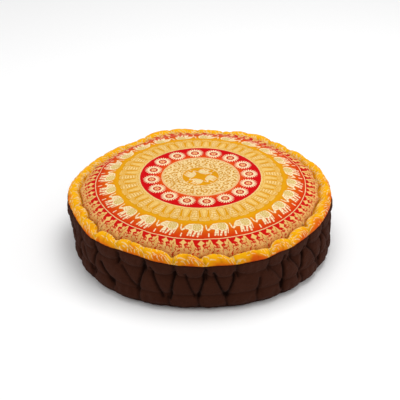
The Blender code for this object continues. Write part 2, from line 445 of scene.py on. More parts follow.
@dataclass
class Skin:
    """The pouf's whole outer skin as a grid: where every column and row of it lies."""

    groove_depth: float = 0.0015
    groove_width: float = 0.0022
    seam_depth: float = 0.0014
    seam_width: float = 0.0016
    gather: float = 0.0006
    swell: float = 0.0010
    line_press: float = 0.0016
    crease_middle: float = 0.80
    crease_ends: float = 0.10
    crease_power: float = 1.3
    fold_press: float = 0.5
    fold_middle: float = 0.80
    fold_ends: float = 0.20
    fold_rounding: float = 0.0008
    fold_that_holds: float = 0.005

    def __post_init__(self) -> None:
        """Lays out the tufts, the folds, the creases and the rows of the grid."""
        self.tufts = self.all_tufts()
        self.folds = self.all_folds()
        self.creases = self.all_creases()
        crown = [ring.rows for ring in CROWN_RINGS]
        top = [station.rows for station in UPPER_ROLL_TOP]
        side = [station.rows for station in UPPER_ROLL_SIDE]
        band = [BAND_STRETCH_ROWS] * len(BAND_SHARES)
        foot = [station.rows for station in LOWER_ROLL_SIDE]
        under = [station.rows for station in UNDERSIDE] + [BASE_MIDDLE_ROWS]
        self.row_counts = crown + top + side + band + foot + under
        self.lip_row = sum(crown) + top[0]
        self.groove_row = self.lip_row + top[1]
        self.upper_seam = sum(crown + top)
        self.upper_stitch = self.upper_seam + sum(side)
        self.lower_stitch = self.upper_stitch + sum(band) + foot[0]
        self.lower_seam = self.upper_stitch + sum(band + foot)
        self.foot_row = self.lower_seam + under[0]
        self.rows = sum(self.row_counts) + 1
        self.columns = STITCHES * STEPS_PER_STITCH

    @staticmethod
    def all_tufts() -> list[Tuft]:
        """Lays out the stitches, placed one by one at the front and evenly with a little wander behind.

        Returns:
            One tuft for each stitch, in order round the pouf.
        """
        wander = random.Random(HIDDEN_TUFT_SEED)
        hidden = STITCHES - len(FRONT_TUFTS)
        last, first = FRONT_TUFTS[-1], FRONT_TUFTS[0]
        tufts = list(FRONT_TUFTS)
        for number in range(1, hidden + 1):
            share = number / (hidden + 1)
            turns = []
            for here, after in zip(first[:3], last[:3]):
                stray = wander.uniform(-HIDDEN_TUFT_WANDER, HIDDEN_TUFT_WANDER)
                turns.append(mix(after, here + 360, share) + stray)
            pull = HIDDEN_PULLS[number % len(HIDDEN_PULLS)]
            tufts.append(Tuft(*turns, cusp=pull * HIDDEN_CUSP_SHARE, pull=pull))
        return tufts

    def all_folds(self) -> list[Fold]:
        """Lays out the folds: the front's own, then two below each upper stitch of the hidden side.

        Returns:
            The folds. The hidden ones are a straight and a slanting one in turn.
        """
        folds = list(FRONT_FOLDS)
        ring = [*self.tufts, self.tufts[0]._replace(lower=self.tufts[0].lower + 360)]
        for here, after in zip(ring, ring[1:]):
            if not FRONT_REACH < here.upper < 360 - FRONT_REACH:
                continue
            deep = here.pull * HIDDEN_FOLD_DEPTH
            straight = (here.upper, HIDDEN_FOLD_TOP, here.lower, HIDDEN_FOLD_LOW)
            start, end = here.upper + SLANT_START, after.lower - SLANT_END
            slant = (start, HIDDEN_FOLD_TOP, end, HIDDEN_FOLD_LOW)
            folds.append(Fold(*straight, depth=deep, width=HIDDEN_FOLD_WIDTH))
            folds.append(Fold(*slant, depth=deep * SLANT_DEPTH, width=HIDDEN_FOLD_WIDTH))
        return folds

    def all_creases(self) -> list[Crease]:
        """Lays out the sharp lines in the folds, and those that run over the two rolls from their stitches.

        Returns:
            The creases.
        """
        groove = -GROOVE_ABOVE_SEAM
        creases = [
            Crease(start, groove, end, ROLL_TUCK_END, ROLL_TUCK_DEPTH) for start, end in ROLL_TUCKS
        ]
        for fold in self.folds:
            top, low = ((MEAN_SEAM - height) * SIDE_SLACK for height in (fold.top, fold.low))
            creases.append(Crease(fold.top_turn, top, fold.low_turn, low, fold.depth * FOLD_CREASE))
        for tuft in self.tufts:
            over = mix(tuft.groove, tuft.upper, CUSP_CREASE_LEAN)
            under = tuft.lower + LOWER_CREASE_LEAN
            pressed = tuft.pull * PULL_CREASE
            creases += [
                Crease(tuft.groove, groove, over, CUSP_CREASE_END, tuft.cusp * CUSP_CREASE),
                Crease(over, HANGING_CREASE[0], tuft.upper, HANGING_CREASE[1], pressed),
                Crease(tuft.lower, LOWER_CREASE[0], under, LOWER_CREASE[1], pressed),
            ]
        return creases

    def crease_depth(self, turn: np.ndarray, down: np.ndarray, row: np.ndarray) -> np.ndarray:
        """Works out how far the creases and the stitched lines press in points of the finished skin.

        Args:
            turn: The points' turns.
            down: Their distances below the upper seam.
            row: Their rows in the grid, halves between two rows.

        Returns:
            The depth at each point.
        """
        depth = np.zeros_like(turn)
        for crease in self.creases:
            start = (crease.start_turn, crease.start)
            away, share = from_line(turn, down, start, (crease.end_turn, crease.end))
            fade = self.crease_middle + self.crease_ends * np.abs(2 * share - 1)
            pressed = crease.depth * fade * np.exp(-((away / CREASE_WIDTH) ** self.crease_power))
            depth = np.maximum(depth, pressed)
        for line, deep in (
            (self.groove_row, 1.0),
            (self.upper_stitch, 0.6),
            (self.lower_stitch, 0.6),
            (self.upper_seam, 0.5),
            (self.lower_seam, 0.5),
        ):
            depth += self.line_press * deep * np.clip(1 - np.abs(row - line), 0, 1)
        return depth

    def columns_laid(self) -> Columns:
        """Works out where each column runs and how puffed it is.

        Returns:
            The columns, in order round the pouf.
        """
        rows = []
        for number, here in enumerate(self.tufts):
            after = self.tufts[(number + 1) % STITCHES]
            lap = 360 if number + 1 == STITCHES else 0
            for step in range(STEPS_PER_STITCH):
                share = step / STEPS_PER_STITCH
                dip = (1 - math.sin(math.pi * share) ** PUFF_POWER) / FULL_PULL
                turns = (mix(start, end + lap, share) for start, end in zip(here[:3], after[:3]))
                roll = 1 - mix(here.cusp, after.cusp, share) * dip
                side = 1 - mix(here.pull, after.pull, share) * dip
                rows.append((*turns, roll, side))
        return Columns(*np.array(rows).T)

    def sections(self) -> np.ndarray:
        """Places every row of every column, before the folds.

        Returns:
            An array of columns by rows by (turn, radius, height).
        """
        laid = self.columns_laid()
        knots = [row.turn for row in OUTLINE]

        def reach(turns: np.ndarray, foot: float) -> np.ndarray:
            """Gives the plan's radius, from the upper roll's at foot 0 to the lower roll's at foot 1."""
            upper = closed_curve(turns, knots, [row.rim for row in OUTLINE])
            return mix(upper, closed_curve(turns, knots, [row.base for row in OUTLINE]), foot)

        def rolled(station: Station, turns: np.ndarray, puff: np.ndarray, foot: float) -> np.ndarray:
            """Places one of a roll's stations on all columns.

            Args:
                station: The station.
                turns: The turn of each column there.
                puff: How puffed each column is there.
                foot: 0 on the upper roll and 1 on the lower roll.

            Returns:
                The turn, radius and height of each column.
            """
            inward = mix(station.stitch_in, station.puff_in, puff)
            up = mix(station.stitch_up, station.puff_up, puff)
            if not foot:
                up = up + closed_curve(turns, knots, [row.seam for row in OUTLINE])
                up = up + SEAM_WANDER * ripple(turns, SEAM_WAVES)
            return np.stack([turns, reach(turns, foot) - inward, up], axis=1)

        def crown(radius: float) -> np.ndarray:
            """Places a ring of the crown.

            Args:
                radius: The ring's radius.

            Returns:
                The turn, radius and height of each column.
            """
            drop = CROWN_DROP * (radius / CROWN_REACH) ** CROWN_POWER
            level = np.zeros_like(laid.groove)
            return np.stack([laid.groove, level + radius, level + CROWN_HEIGHT - drop], axis=1)

        made = [crown(0.0), *(crown(row.radius) for row in CROWN_RINGS)]
        for station, lean in zip(UPPER_ROLL_TOP, ROLL_LEAN):
            made.append(rolled(station, mix(laid.groove, laid.upper, lean), laid.roll, 0.0))
        made += [rolled(station, laid.upper, laid.side, 0.0) for station in UPPER_ROLL_SIDE]
        foot = [rolled(station, laid.lower, laid.side, 1.0) for station in (*LOWER_ROLL_SIDE, *UNDERSIDE)]
        above, below = made[-1], foot[0]
        for share in BAND_SHARES:
            turns = mix(above[:, 0], below[:, 0], share)
            radius = reach(turns, share) - BAND_SET_BACK + BAND_BULGE * math.sin(math.pi * share)
            made.append(np.stack([turns, radius, mix(above[:, 2], below[:, 2], share)], axis=1))
        base_middle = np.stack([laid.lower, np.zeros_like(laid.lower), np.zeros_like(laid.lower)], axis=1)
        return smooth_section(np.stack([*made, *foot, base_middle], axis=1), self.row_counts)

    @staticmethod
    def placed(sections: np.ndarray) -> np.ndarray:
        """Turns rows of turn, radius and height into points.

        Args:
            sections: An array whose last side is (turn, radius, height).

        Returns:
            The same array with (x, y, z) as its last side.
        """
        angle = np.radians(sections[..., 0])
        x = sections[..., 1] * np.sin(angle)
        y = -sections[..., 1] * np.cos(angle)
        return np.stack([x, y, sections[..., 2]], axis=-1)

    @staticmethod
    def normals(points: np.ndarray) -> np.ndarray:
        """Works out the outward unit normals of a grid of points.

        Args:
            points: The grid, as columns by rows by (x, y, z).

        Returns:
            The normals, in the same order.
        """
        down = np.gradient(points, axis=1)
        around = np.roll(points, -1, axis=0) - np.roll(points, 1, axis=0)
        across = np.cross(down, around)
        return across / (np.linalg.norm(across, axis=-1, keepdims=True) + 1e-12)

    def down_from_seam(self, sections: np.ndarray) -> tuple[np.ndarray, np.ndarray]:
        """Measures the cloth's length down each column.

        Args:
            sections: The grid as (turn, radius, height).

        Returns:
            The length from the middle of the top, and from the upper seam, as columns by rows.
        """
        steps = np.linalg.norm(np.diff(sections[..., 1:], axis=1), axis=2)
        down = np.concatenate([np.zeros((self.columns, 1)), np.cumsum(steps, axis=1)], axis=1)
        return down, down - down[:, self.upper_seam : self.upper_seam + 1]

    def fold_depth(self, sections: np.ndarray) -> np.ndarray:
        """Works out how far the folds of the band pull each point in.

        Args:
            sections: The grid as (turn, radius, height).

        Returns:
            The depth at every point.
        """
        turn, down = sections[..., 0], MEAN_SEAM - sections[..., 2]
        depth = np.zeros_like(turn)
        for fold in self.folds:
            start, end = (fold.top_turn, MEAN_SEAM - fold.top), (fold.low_turn, MEAN_SEAM - fold.low)
            away, share = from_line(turn, down, start, end)
            fade = self.fold_middle + self.fold_ends * np.abs(2 * share - 1)
            near = np.exp(-np.hypot(away, self.fold_rounding) / fold.width)
            depth = np.maximum(depth, self.fold_press * fold.depth * fade * near)
        below_seam = self.rising(self.upper_seam + 1, 4)
        above_seam = self.falling(self.lower_seam, 6)
        return depth * (below_seam * above_seam)

    def line_depth(self, sections: np.ndarray, row: int, depth: float, width: float) -> np.ndarray:
        """Makes a narrow valley along one row of the grid.

        Args:
            sections: The grid as (turn, radius, height).
            row: The row at the valley's bottom.
            depth: How deep it is.
            width: How fast its sides rise.

        Returns:
            The depth at every point.
        """
        along, _ = self.down_from_seam(sections)
        away = np.abs(along - along[:, row : row + 1])
        return depth * np.exp(-away / width)

    def rising(self, row: int, rows: int) -> np.ndarray:
        """Goes from 0 at a row to 1 this many rows below it, for each row of the grid."""
        return np.clip((np.arange(self.rows)[None, :] - row) / rows, 0, 1)

    def falling(self, row: int, rows: int) -> np.ndarray:
        """Goes from 1 this many rows above a row to 0 at it, for each row of the grid."""
        return np.clip((row - np.arange(self.rows)[None, :]) / rows, 0, 1)

    def gather_depth(self, sections: np.ndarray) -> np.ndarray:
        """Makes the fine gathers across the rolls and the band, and broad swells of the crown.

        Args:
            sections: The grid as (turn, radius, height).

        Returns:
            The depth at every point, below zero where the cloth stands out.
        """
        turn, height = sections[..., 0], sections[..., 2]
        away = (np.mod(turn - MOST_GATHERED_TURN + 180, 360) - 180) / GATHERS_FADE
        left = LEAST_GATHERED + (1 - LEAST_GATHERED) * np.exp(-(away**2))
        roll = self.rising(self.groove_row, 3) * self.falling(self.upper_stitch, 5)
        foot = self.rising(self.lower_stitch, 3) * self.falling(self.foot_row, 4)
        middle = self.rising(self.upper_stitch, 3) * self.falling(self.lower_stitch, 3)
        lean = turn + GATHERS_SLANT * (height - BAND_MIDDLE)
        fine = ripple(turn, ROLL_GATHERS) * roll * left
        side = ripple(turn, FOOT_GATHERS) * foot + ripple(lean, BAND_GATHERS) * middle
        crown = self.rising(0, self.lip_row) ** 3 * self.falling(self.groove_row, 4)
        return self.gather * (fine + SIDE_GATHERS * side) + self.swell * ripple(turn, CROWN_SWELLS) * crown

    def grid(self) -> tuple[np.ndarray, np.ndarray, np.ndarray]:
        """Makes the whole skin.

        Returns:
            Three arrays of columns by rows by (x, y, z): the points, their places on the flat cloth,
            and their places on a cylinder of radius 1 with the distance below the upper seam as z.
        """
        sections = self.sections()
        points = self.placed(sections)
        depth = self.fold_depth(sections) + self.gather_depth(sections)
        depth += self.line_depth(sections, self.groove_row, self.groove_depth, self.groove_width)
        for row in (self.upper_seam, self.lower_seam):
            depth += self.line_depth(sections, row, self.seam_depth, self.seam_width)
        ends = np.zeros(self.rows)
        ends[1:-1] = 1
        points = points - self.normals(points) * (depth * ends)[..., None]
        points[..., 2] = np.maximum(points[..., 2], 0.0)
        middle = (points[..., :2].min(axis=(0, 1)) + points[..., :2].max(axis=(0, 1))) / 2
        points[..., :2] -= middle
        wound = np.stack([sections[..., 0], np.ones_like(depth), np.zeros_like(depth)], axis=-1)
        wound = self.placed(wound)
        wound[..., 2] = self.down_from_seam(sections)[1]
        return points, self.flat_places(sections), wound

    def flat_places(self, sections: np.ndarray) -> np.ndarray:
        """Works out where each point lies on the flat cloth.

        Args:
            sections: The grid as (turn, radius, height).

        Returns:
            The places, on a disc for the two panels and on an upright cylinder for the band.
        """
        down, from_seam = self.down_from_seam(sections)
        from_end = down[:, -1:] - down
        rows = np.arange(self.rows)[None, :]
        groove = down[:, self.groove_row, None]
        drawn = np.clip((down - DRAWN_FROM) / (groove - DRAWN_FROM), 0, 1)
        radius = np.where(rows <= self.upper_seam, down + drawn * (GROOVE_ON_PRINT - groove), MEAN_REACH)
        radius = np.where(rows > self.lower_seam, from_end, radius)
        places = np.stack([sections[..., 0], radius, np.zeros_like(radius)], axis=-1)
        places = self.placed(places)
        band = (rows > self.upper_seam) & (rows <= self.lower_seam)
        places[..., 2] = np.where(band, from_seam, 0.0)
        return places

    def held(self) -> np.ndarray:
        """Says how firmly the stitches, folds and seams hold each point while the skin settles.

        Returns:
            Weights from 0 to 1, as columns by rows.
        """
        sections = self.sections()
        rows = np.arange(self.rows)[None, :]
        weight = np.clip(self.fold_depth(sections) / self.fold_that_holds, 0, 1)
        for row, reach in ((self.groove_row, 2), (self.upper_stitch, 1), (self.lower_stitch, 1)):
            stitched = 1 - np.abs(rows - row) / reach
            weight = np.maximum(weight, np.clip(stitched, 0, 1))
        sewn = (rows == self.upper_seam) | (rows == self.lower_seam) | (rows >= self.foot_row)
        weight = np.maximum(weight, sewn * 1.0)
        weight = np.maximum(weight, self.falling(self.lip_row + 1, 6))
        return np.round(weight, 1)


def read_points(mesh: bpy.types.Mesh) -> np.ndarray:
    """Reads a mesh's points.

    Args:
        mesh: The mesh.

    Returns:
        The points as rows of x, y and z.
    """
    points = np.empty(len(mesh.vertices) * 3)
    mesh.vertices.foreach_get("co", points)
    return points.reshape(-1, 3)


def write_points(mesh: bpy.types.Mesh, points: np.ndarray) -> None:
    """Puts a mesh's points at these places."""
    mesh.vertices.foreach_set("co", points.ravel())
    mesh.update()


@dataclass
class Settling:
    """The short cloth simulation that lets the skin swell between its stitches."""

    frames: int = 20
    pressure: float = 3.0
    slack: float = -0.02
    reach: float = 0.004
    quality: int = 5
    mass: float = 0.2
    tension: float = 20
    shear: float = 8
    bending: float = 0.3

    def settle(self, cover: bpy.types.Object, held: np.ndarray) -> None:
        """Runs the simulation and moves the mesh's points to where it leaves them.

        Args:
            cover: The closed skin.
            held: How firmly each point is held, from 0 to 1.
        """
        rest = read_points(cover.data)
        group = cover.vertex_groups.new(name="held")
        for weight in np.unique(held):
            group.add(np.flatnonzero(held == weight).tolist(), float(weight), "REPLACE")
        cloth = cover.modifiers.new("settle", "CLOTH")
        cloth.settings.quality = self.quality
        cloth.settings.mass = self.mass
        cloth.settings.tension_stiffness = self.tension
        cloth.settings.compression_stiffness = self.tension
        cloth.settings.shear_stiffness = self.shear
        cloth.settings.bending_stiffness = self.bending
        cloth.settings.use_pressure = True
        cloth.settings.uniform_pressure_force = self.pressure
        cloth.settings.shrink_min = self.slack
        cloth.settings.vertex_group_mass = group.name
        cloth.settings.effector_weights.gravity = 0
        cloth.collision_settings.use_collision = False
        cloth.point_cache.frame_start = 1
        cloth.point_cache.frame_end = self.frames
        scene = bpy.context.scene
        for frame in range(1, self.frames + 1):
            scene.frame_set(frame)
        graph = bpy.context.evaluated_depsgraph_get()
        settled = bpy.data.meshes.new_from_object(cover.evaluated_get(graph))
        moved = read_points(settled) - rest
        bpy.data.meshes.remove(settled)
        cover.modifiers.remove(cloth)
        scene.frame_set(1)
        length = np.linalg.norm(moved, axis=1, keepdims=True)
        moved *= np.minimum(1.0, self.reach / np.maximum(length, 1e-9))
        LOG.info("settled: mean move %.4f m, largest %.4f m", length.mean(), length.max())
        write_points(cover.data, rest + moved)


class Panel(Enum):
    """The sewn pieces, in the order of the skin's rows."""

    TOP = 0
    BAND = 1
    BASE = 2


PANEL_MARK = "panel"
PLACE = "cloth_place"
# The tuck attribute holds how deep in a crease each point lies: the mask of the painted shade there
TUCK = "tuck"
WOUND = "wound_place"
ROW = "skin_row"


@dataclass
class Cover:
    """The sewn cover and its stuffing, made from one closed skin that is cut at its two seams."""

    skin: Skin = field(default_factory=Skin)
    settling: Settling = field(default_factory=Settling)
    cloth: float = 0.002
    gap: float = 0.0003
    plain: bpy.types.Mesh | None = None
    smooth: bpy.types.Mesh | None = None

    def raise_skin(self) -> None:
        """Places the skin, settles it, and keeps it both as it is and subdivided once."""
        mesh, column, row = self.tube()
        points, places, wound = self.skin.grid()
        write_points(mesh, points[column, row])
        for name, values in ((PLACE, places), (WOUND, wound)):
            place = mesh.attributes.new(name, "FLOAT_VECTOR", "POINT")
            place.data.foreach_set("vector", values[column, row].ravel())
        mesh.attributes.new(ROW, "FLOAT", "POINT").data.foreach_set("value", row.astype(float))
        self.mark_panels(mesh, row)
        body = bpy.data.objects.new("skin", mesh)
        bpy.context.scene.collection.objects.link(body)
        self.settling.settle(body, self.skin.held()[column, row])
        points = read_points(mesh)
        points[:, 2] = np.maximum(points[:, 2], 0.0)
        write_points(mesh, points)
        rounding = body.modifiers.new("rounding", "SUBSURF")
        rounding.levels = 1
        rounding.render_levels = 1
        graph = bpy.context.evaluated_depsgraph_get()
        self.smooth = bpy.data.meshes.new_from_object(body.evaluated_get(graph))
        self.plain = mesh
        bpy.data.objects.remove(body)
        for form in (self.smooth, self.plain):
            self.press_creases(form)
            self.close_middles(form)

    def press_creases(self, mesh: bpy.types.Mesh) -> None:
        """Presses the creases and the stitched lines in, and keeps how deep in them each point lies, as the
        mask of the shade that the materials paint into those lines.

        Args:
            mesh: The settled skin.
        """
        count = len(mesh.vertices)
        points, normals, wound = read_points(mesh), np.empty(count * 3), np.empty(count * 3)
        mesh.vertices.foreach_get("normal", normals)
        mesh.attributes[WOUND].data.foreach_get("vector", wound)
        row = np.empty(count)
        mesh.attributes[ROW].data.foreach_get("value", row)
        wound = wound.reshape(-1, 3)
        turn = np.degrees(np.arctan2(wound[:, 0], -wound[:, 1]))
        depth = self.skin.crease_depth(turn, wound[:, 2], row)
        points -= normals.reshape(-1, 3) * depth[:, None]
        points[:, 2] = np.maximum(points[:, 2], 0.0)
        write_points(mesh, points)
        # The depth, full at FULL_TUCK, becomes the tuck attribute: the mask of painted shade in the creases
        # and stitched lines
        tuck = np.clip(depth / FULL_TUCK, 0, 1)
        mesh.attributes.new(TUCK, "FLOAT", "POINT").data.foreach_set("value", tuck)
        for name in (WOUND, ROW):
            mesh.attributes.remove(mesh.attributes[name])

    @staticmethod
    def close_middles(mesh: bpy.types.Mesh) -> None:
        """Closes the small round holes in the middle of the crown and of the base with fans.

        Args:
            mesh: The open skin.
        """
        form = bmesh.new()
        form.from_mesh(mesh)
        kind = form.faces.layers.int[PANEL_MARK]
        border = [edge for edge in form.edges if edge.is_boundary]
        filled = bmesh.ops.holes_fill(form, edges=border, sides=0)["faces"]
        for face in filled:
            above = face.calc_center_median().z > CROWN_HEIGHT / 2
            face[kind] = (Panel.TOP if above else Panel.BASE).value
        bmesh.ops.poke(form, faces=filled)
        bmesh.ops.recalc_face_normals(form, faces=form.faces)
        form.to_mesh(mesh)
        form.free()

    @staticmethod
    def put_in_order(form: bmesh.types.BMesh) -> None:
        """Sorts a form's edges and faces by their points, so that the simulation runs alike each time.

        Args:
            form: The form, whose points are in order.
        """
        count = len(form.verts)
        form.verts.index_update()

        def rank(part: bmesh.types.BMEdge | bmesh.types.BMFace) -> int:
            """Numbers an edge or a face by its first and its last point."""
            numbers = [point.index for point in part.verts]
            return min(numbers) * count + max(numbers)

        form.edges.sort(key=rank)
        form.faces.sort(key=rank)

    def tube(self) -> tuple[bpy.types.Mesh, np.ndarray, np.ndarray]:
        """Makes an upright tube of the skin's columns and rows, to be moved onto the skin.

        The first and the last row, the middles of the crown and of the base, are left out. A point
        where hundreds of edges meet would be slow to smooth, so they are closed afterwards.

        Returns:
            The tube's mesh, and the column and the row of each of its points.
        """
        form = bmesh.new()
        bmesh.ops.create_circle(form, segments=self.skin.columns, radius=1.0)
        bmesh.ops.translate(form, verts=form.verts, vec=(0.0, 0.0, -1.0))
        edges = form.edges[:]
        for _ in range(self.skin.rows - 3):
            made = bmesh.ops.extrude_edge_only(form, edges=edges)["geom"]
            points = {part for part in made if isinstance(part, bmesh.types.BMVert)}
            edges = [part for part in made if isinstance(part, bmesh.types.BMEdge)]
            edges = [edge for edge in edges if points.issuperset(edge.verts)]
            bmesh.ops.translate(form, verts=list(points), vec=(0.0, 0.0, -1.0))
        bmesh.ops.recalc_face_normals(form, faces=form.faces)
        self.put_in_order(form)
        mesh = bpy.data.meshes.new("skin")
        form.to_mesh(mesh)
        form.free()
        places = read_points(mesh)
        turn = np.arctan2(places[:, 0], -places[:, 1]) / (2 * math.pi)
        column = np.rint(turn * self.skin.columns).astype(int) % self.skin.columns
        return mesh, column, np.rint(-places[:, 2]).astype(int)

    def mark_panels(self, mesh: bpy.types.Mesh, row: np.ndarray) -> None:
        """Marks each face with the panel that it belongs to, by the row of its upper edge.

        Args:
            mesh: The skin.
            row: The row of each of its points.
        """
        seams = (self.skin.upper_seam, self.skin.lower_seam)
        mark = mesh.attributes.new(PANEL_MARK, "INT", "FACE")
        upper = [min(row[number] for number in face.vertices) for face in mesh.polygons]
        mark.data.foreach_set("value", np.searchsorted(seams, upper, side="right"))

    @staticmethod
    def add_layer(form: bmesh.types.BMesh, source: bpy.types.Mesh, panels: set[Panel], sunk: float) -> None:
        """Adds some of a mesh's panels to a form.

        Args:
            form: Receives the faces.
            source: The marked mesh.
            panels: The panels that are taken.
            sunk: How far below the mesh's surface they are put.
        """
        layer = bmesh.new()
        layer.from_mesh(source)
        layer.normal_update()
        places = [vertex.co - vertex.normal * sunk for vertex in layer.verts]
        for vertex, place in zip(layer.verts, places):
            vertex.co = place
        kind = layer.faces.layers.int[PANEL_MARK]
        wanted = {panel.value for panel in panels}
        others = [face for face in layer.faces if face[kind] not in wanted]
        bmesh.ops.delete(layer, geom=others, context="FACES")
        taken = bpy.data.meshes.new("layer")
        layer.to_mesh(taken)
        layer.free()
        form.from_mesh(taken)
        bpy.data.meshes.remove(taken)

    @staticmethod
    def close_seams(form: bmesh.types.BMesh) -> None:
        """Joins the open edges at each seam, and turns every face outwards.

        Args:
            form: A form of two layers that are open at their seams.
        """
        border = [edge for edge in form.edges if edge.is_boundary]
        middle = CROWN_HEIGHT / 3
        upper = [edge for edge in border if edge.verts[0].co.z > middle]
        lower = [edge for edge in border if edge.verts[0].co.z <= middle]
        for edges in filter(None, (upper, lower)):
            bmesh.ops.bridge_loops(form, edges=edges)
        bmesh.ops.recalc_face_normals(form, faces=form.faces)

    def finished(self, form: bmesh.types.BMesh, name: str, finish: bpy.types.Material) -> bpy.types.Object:
        """Makes a form into a piece of the pouf.

        Args:
            form: The closed form, which is freed.
            name: The piece's name.
            finish: Its material.

        Returns:
            The piece, riding on the pouf's one body.
        """
        for face in form.faces:
            face.smooth = True
        mesh = bpy.data.meshes.new(name)
        form.to_mesh(mesh)
        form.free()
        mesh.attributes.remove(mesh.attributes[PANEL_MARK])
        mesh.materials.append(finish)
        piece = bpy.data.objects.new(name, mesh)
        bpy.context.scene.collection.objects.link(piece)
        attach(piece, "root")
        LOG.info("%s: %d faces", name, len(mesh.polygons))
        return piece

    def panel(self, kind: Panel, name: str, finish: bpy.types.Material) -> bpy.types.Object:
        """Makes one of the two round panels as a closed sheet of cloth.

        Args:
            kind: Which of the two it is.
            name: The piece's name.
            finish: Its material.

        Returns:
            The panel.
        """
        form = bmesh.new()
        self.add_layer(form, self.smooth, {kind}, sunk=0.0)
        self.add_layer(form, self.plain, {kind}, sunk=self.cloth)
        self.close_seams(form)
        return self.finished(form, name, finish)

    def stuffed_band(self, name: str, finish: bpy.types.Material) -> bpy.types.Object:
        """Makes the side band and the stuffing that it holds, which fills both panels.

        Args:
            name: The piece's name.
            finish: Its material.

        Returns:
            The band with its stuffing.
        """
        form = bmesh.new()
        self.add_layer(form, self.smooth, {Panel.BAND}, sunk=0.0)
        self.add_layer(form, self.plain, {Panel.TOP, Panel.BASE}, sunk=self.cloth + self.gap)
        self.close_seams(form)
        return self.finished(form, name, finish)

    def build(
        self,
        print_finish: bpy.types.Material,
        band_finish: bpy.types.Material,
        base_finish: bpy.types.Material,
    ) -> None:
        """Makes the three pieces, and hides the imported parts that they stand in for.

        Args:
            print_finish: The printed cotton.
            band_finish: The dark cotton as it runs round the side.
            base_finish: The dark cotton as it lies under the pouf.
        """
        self.raise_skin()
        top = self.panel(Panel.TOP, "printed_top", print_finish)
        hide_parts("top_panel")
        band = self.stuffed_band("stuffed_band", band_finish)
        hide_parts("filled_band")
        base = self.panel(Panel.BASE, "base_cloth", base_finish)
        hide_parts("bottom_panel")


class Ink(NamedTuple):
    """A dye's colour as a screen shows it, from 0 to 255."""

    red: int
    green: int
    blue: int

    def linear(self) -> tuple[float, float, float, float]:
        """Works out the colour as the shader takes it.

        Returns:
            Red, green and blue from 0 to 1, and the alpha.
        """
        shares = (part / 255 for part in self)
        red, green, blue = (s / 12.92 if s <= 0.04045 else ((s + 0.055) / 1.055) ** 2.4 for s in shares)
        return red, green, blue, 1.0


class Kind(Enum):
    """What a node group's socket carries."""

    NUMBER = "NodeSocketFloat"
    VECTOR = "NodeSocketVector"


class Value:
    """A number or a vector in a node tree. The signs of arithmetic add the nodes that work them out."""

    def __init__(self, socket: bpy.types.NodeSocket) -> None:
        """Keeps the socket that gives the value."""
        self.socket = socket

    @property
    def tree(self) -> bpy.types.NodeTree:
        """The tree that the value is in."""
        return self.socket.id_data

    def __add__(self, other: "Value | float") -> "Value":
        """Adds."""
        return work("ADD", self, other)

    def __sub__(self, other: "Value | float") -> "Value":
        """Takes away."""
        return work("SUBTRACT", self, other)

    def __rsub__(self, other: float) -> "Value":
        """Takes this away from a number."""
        return work("SUBTRACT", other, self)

    def __mul__(self, other: "Value | float") -> "Value":
        """Multiplies."""
        return work("MULTIPLY", self, other)

    def __truediv__(self, other: "Value | float") -> "Value":
        """Divides."""
        return work("DIVIDE", self, other)

    def __abs__(self) -> "Value":
        """Drops the sign."""
        return work("ABSOLUTE", self)

    def between(self, low: "Value | float", high: "Value | float") -> "Value":
        """Goes straight from 0 at one end to 1 at the other, and stays within them.

        Args:
            low: The value that gives 0.
            high: The value that gives 1. It may be the smaller one.

        Returns:
            The share of the way from low to high.
        """
        node = self.tree.nodes.new("ShaderNodeMapRange")
        feed(node.inputs, (self, low, high))
        return Value(node.outputs["Result"])

    def within(self, low: float, high: float, soft: float = 0.35) -> "Value":
        """Gives 1 from low to high and 0 outside, with soft edges."""
        return self.between(low - soft, low + soft) * self.between(high + soft, high - soft)

    def inked(self, soft: float = 0.35) -> "Value":
        """Gives 1 where this distance is below zero, with a soft edge."""
        return self.between(soft, -soft)


def feed(sockets: Sequence[bpy.types.NodeSocket], given: Sequence[Value | float | tuple]) -> None:
    """Links or sets a node's first inputs.

    Args:
        sockets: The node's inputs.
        given: A value or a plain number or colour for each.
    """
    for socket, item in zip(sockets, given):
        if isinstance(item, Value):
            item.tree.links.new(item.socket, socket)
        else:
            socket.default_value = item


def tree_of(given: Sequence[Value | float | tuple]) -> bpy.types.NodeTree:
    """Finds the tree that these values are in."""
    return next(item.tree for item in given if isinstance(item, Value))


def work(operation: str, *given: Value | float) -> Value:
    """Adds a Math node.

    Args:
        operation: What it works out.
        given: Its inputs. One of them is a value.

    Returns:
        The result.
    """
    node = tree_of(given).nodes.new("ShaderNodeMath")
    node.operation = operation
    feed(node.inputs, given)
    return Value(node.outputs["Value"])


def vector_work(operation: str, *given: Value | tuple | float) -> Value:
    """Adds a Vector Math node.

    Args:
        operation: What it works out.
        given: Its inputs. One of them is a value.

    Returns:
        The result, a number or a vector as the operation has it.
    """
    node = tree_of(given).nodes.new("ShaderNodeVectorMath")
    node.operation = operation
    scaled = operation == "SCALE"
    feed([node.inputs["Vector"], node.inputs["Scale"]] if scaled else node.inputs, given)
    number = operation in ("LENGTH", "DOT_PRODUCT", "DISTANCE")
    return Value(node.outputs["Value" if number else "Vector"])


def largest(*values: Value) -> Value:
    """Finds the largest of several values.

    Args:
        values: The values.

    Returns:
        The largest.
    """
    most = values[0]
    for value in values[1:]:
        most = work("MAXIMUM", most, value)
    return most


def combined(across: Value | float, along: Value | float, up: Value | float = 0.0) -> Value:
    """Makes a vector of its parts.

    Args:
        across: The first part.
        along: The second part.
        up: The third part.

    Returns:
        The vector.
    """
    node = tree_of((across, along, up)).nodes.new("ShaderNodeCombineXYZ")
    feed(node.inputs, (across, along, up))
    return Value(node.outputs["Vector"])


def parts(vector: Value) -> tuple[Value, Value, Value]:
    """Takes a vector apart.

    Args:
        vector: The vector.

    Returns:
        Its three parts.
    """
    node = vector.tree.nodes.new("ShaderNodeSeparateXYZ")
    feed(node.inputs, (vector,))
    return tuple(Value(socket) for socket in node.outputs)


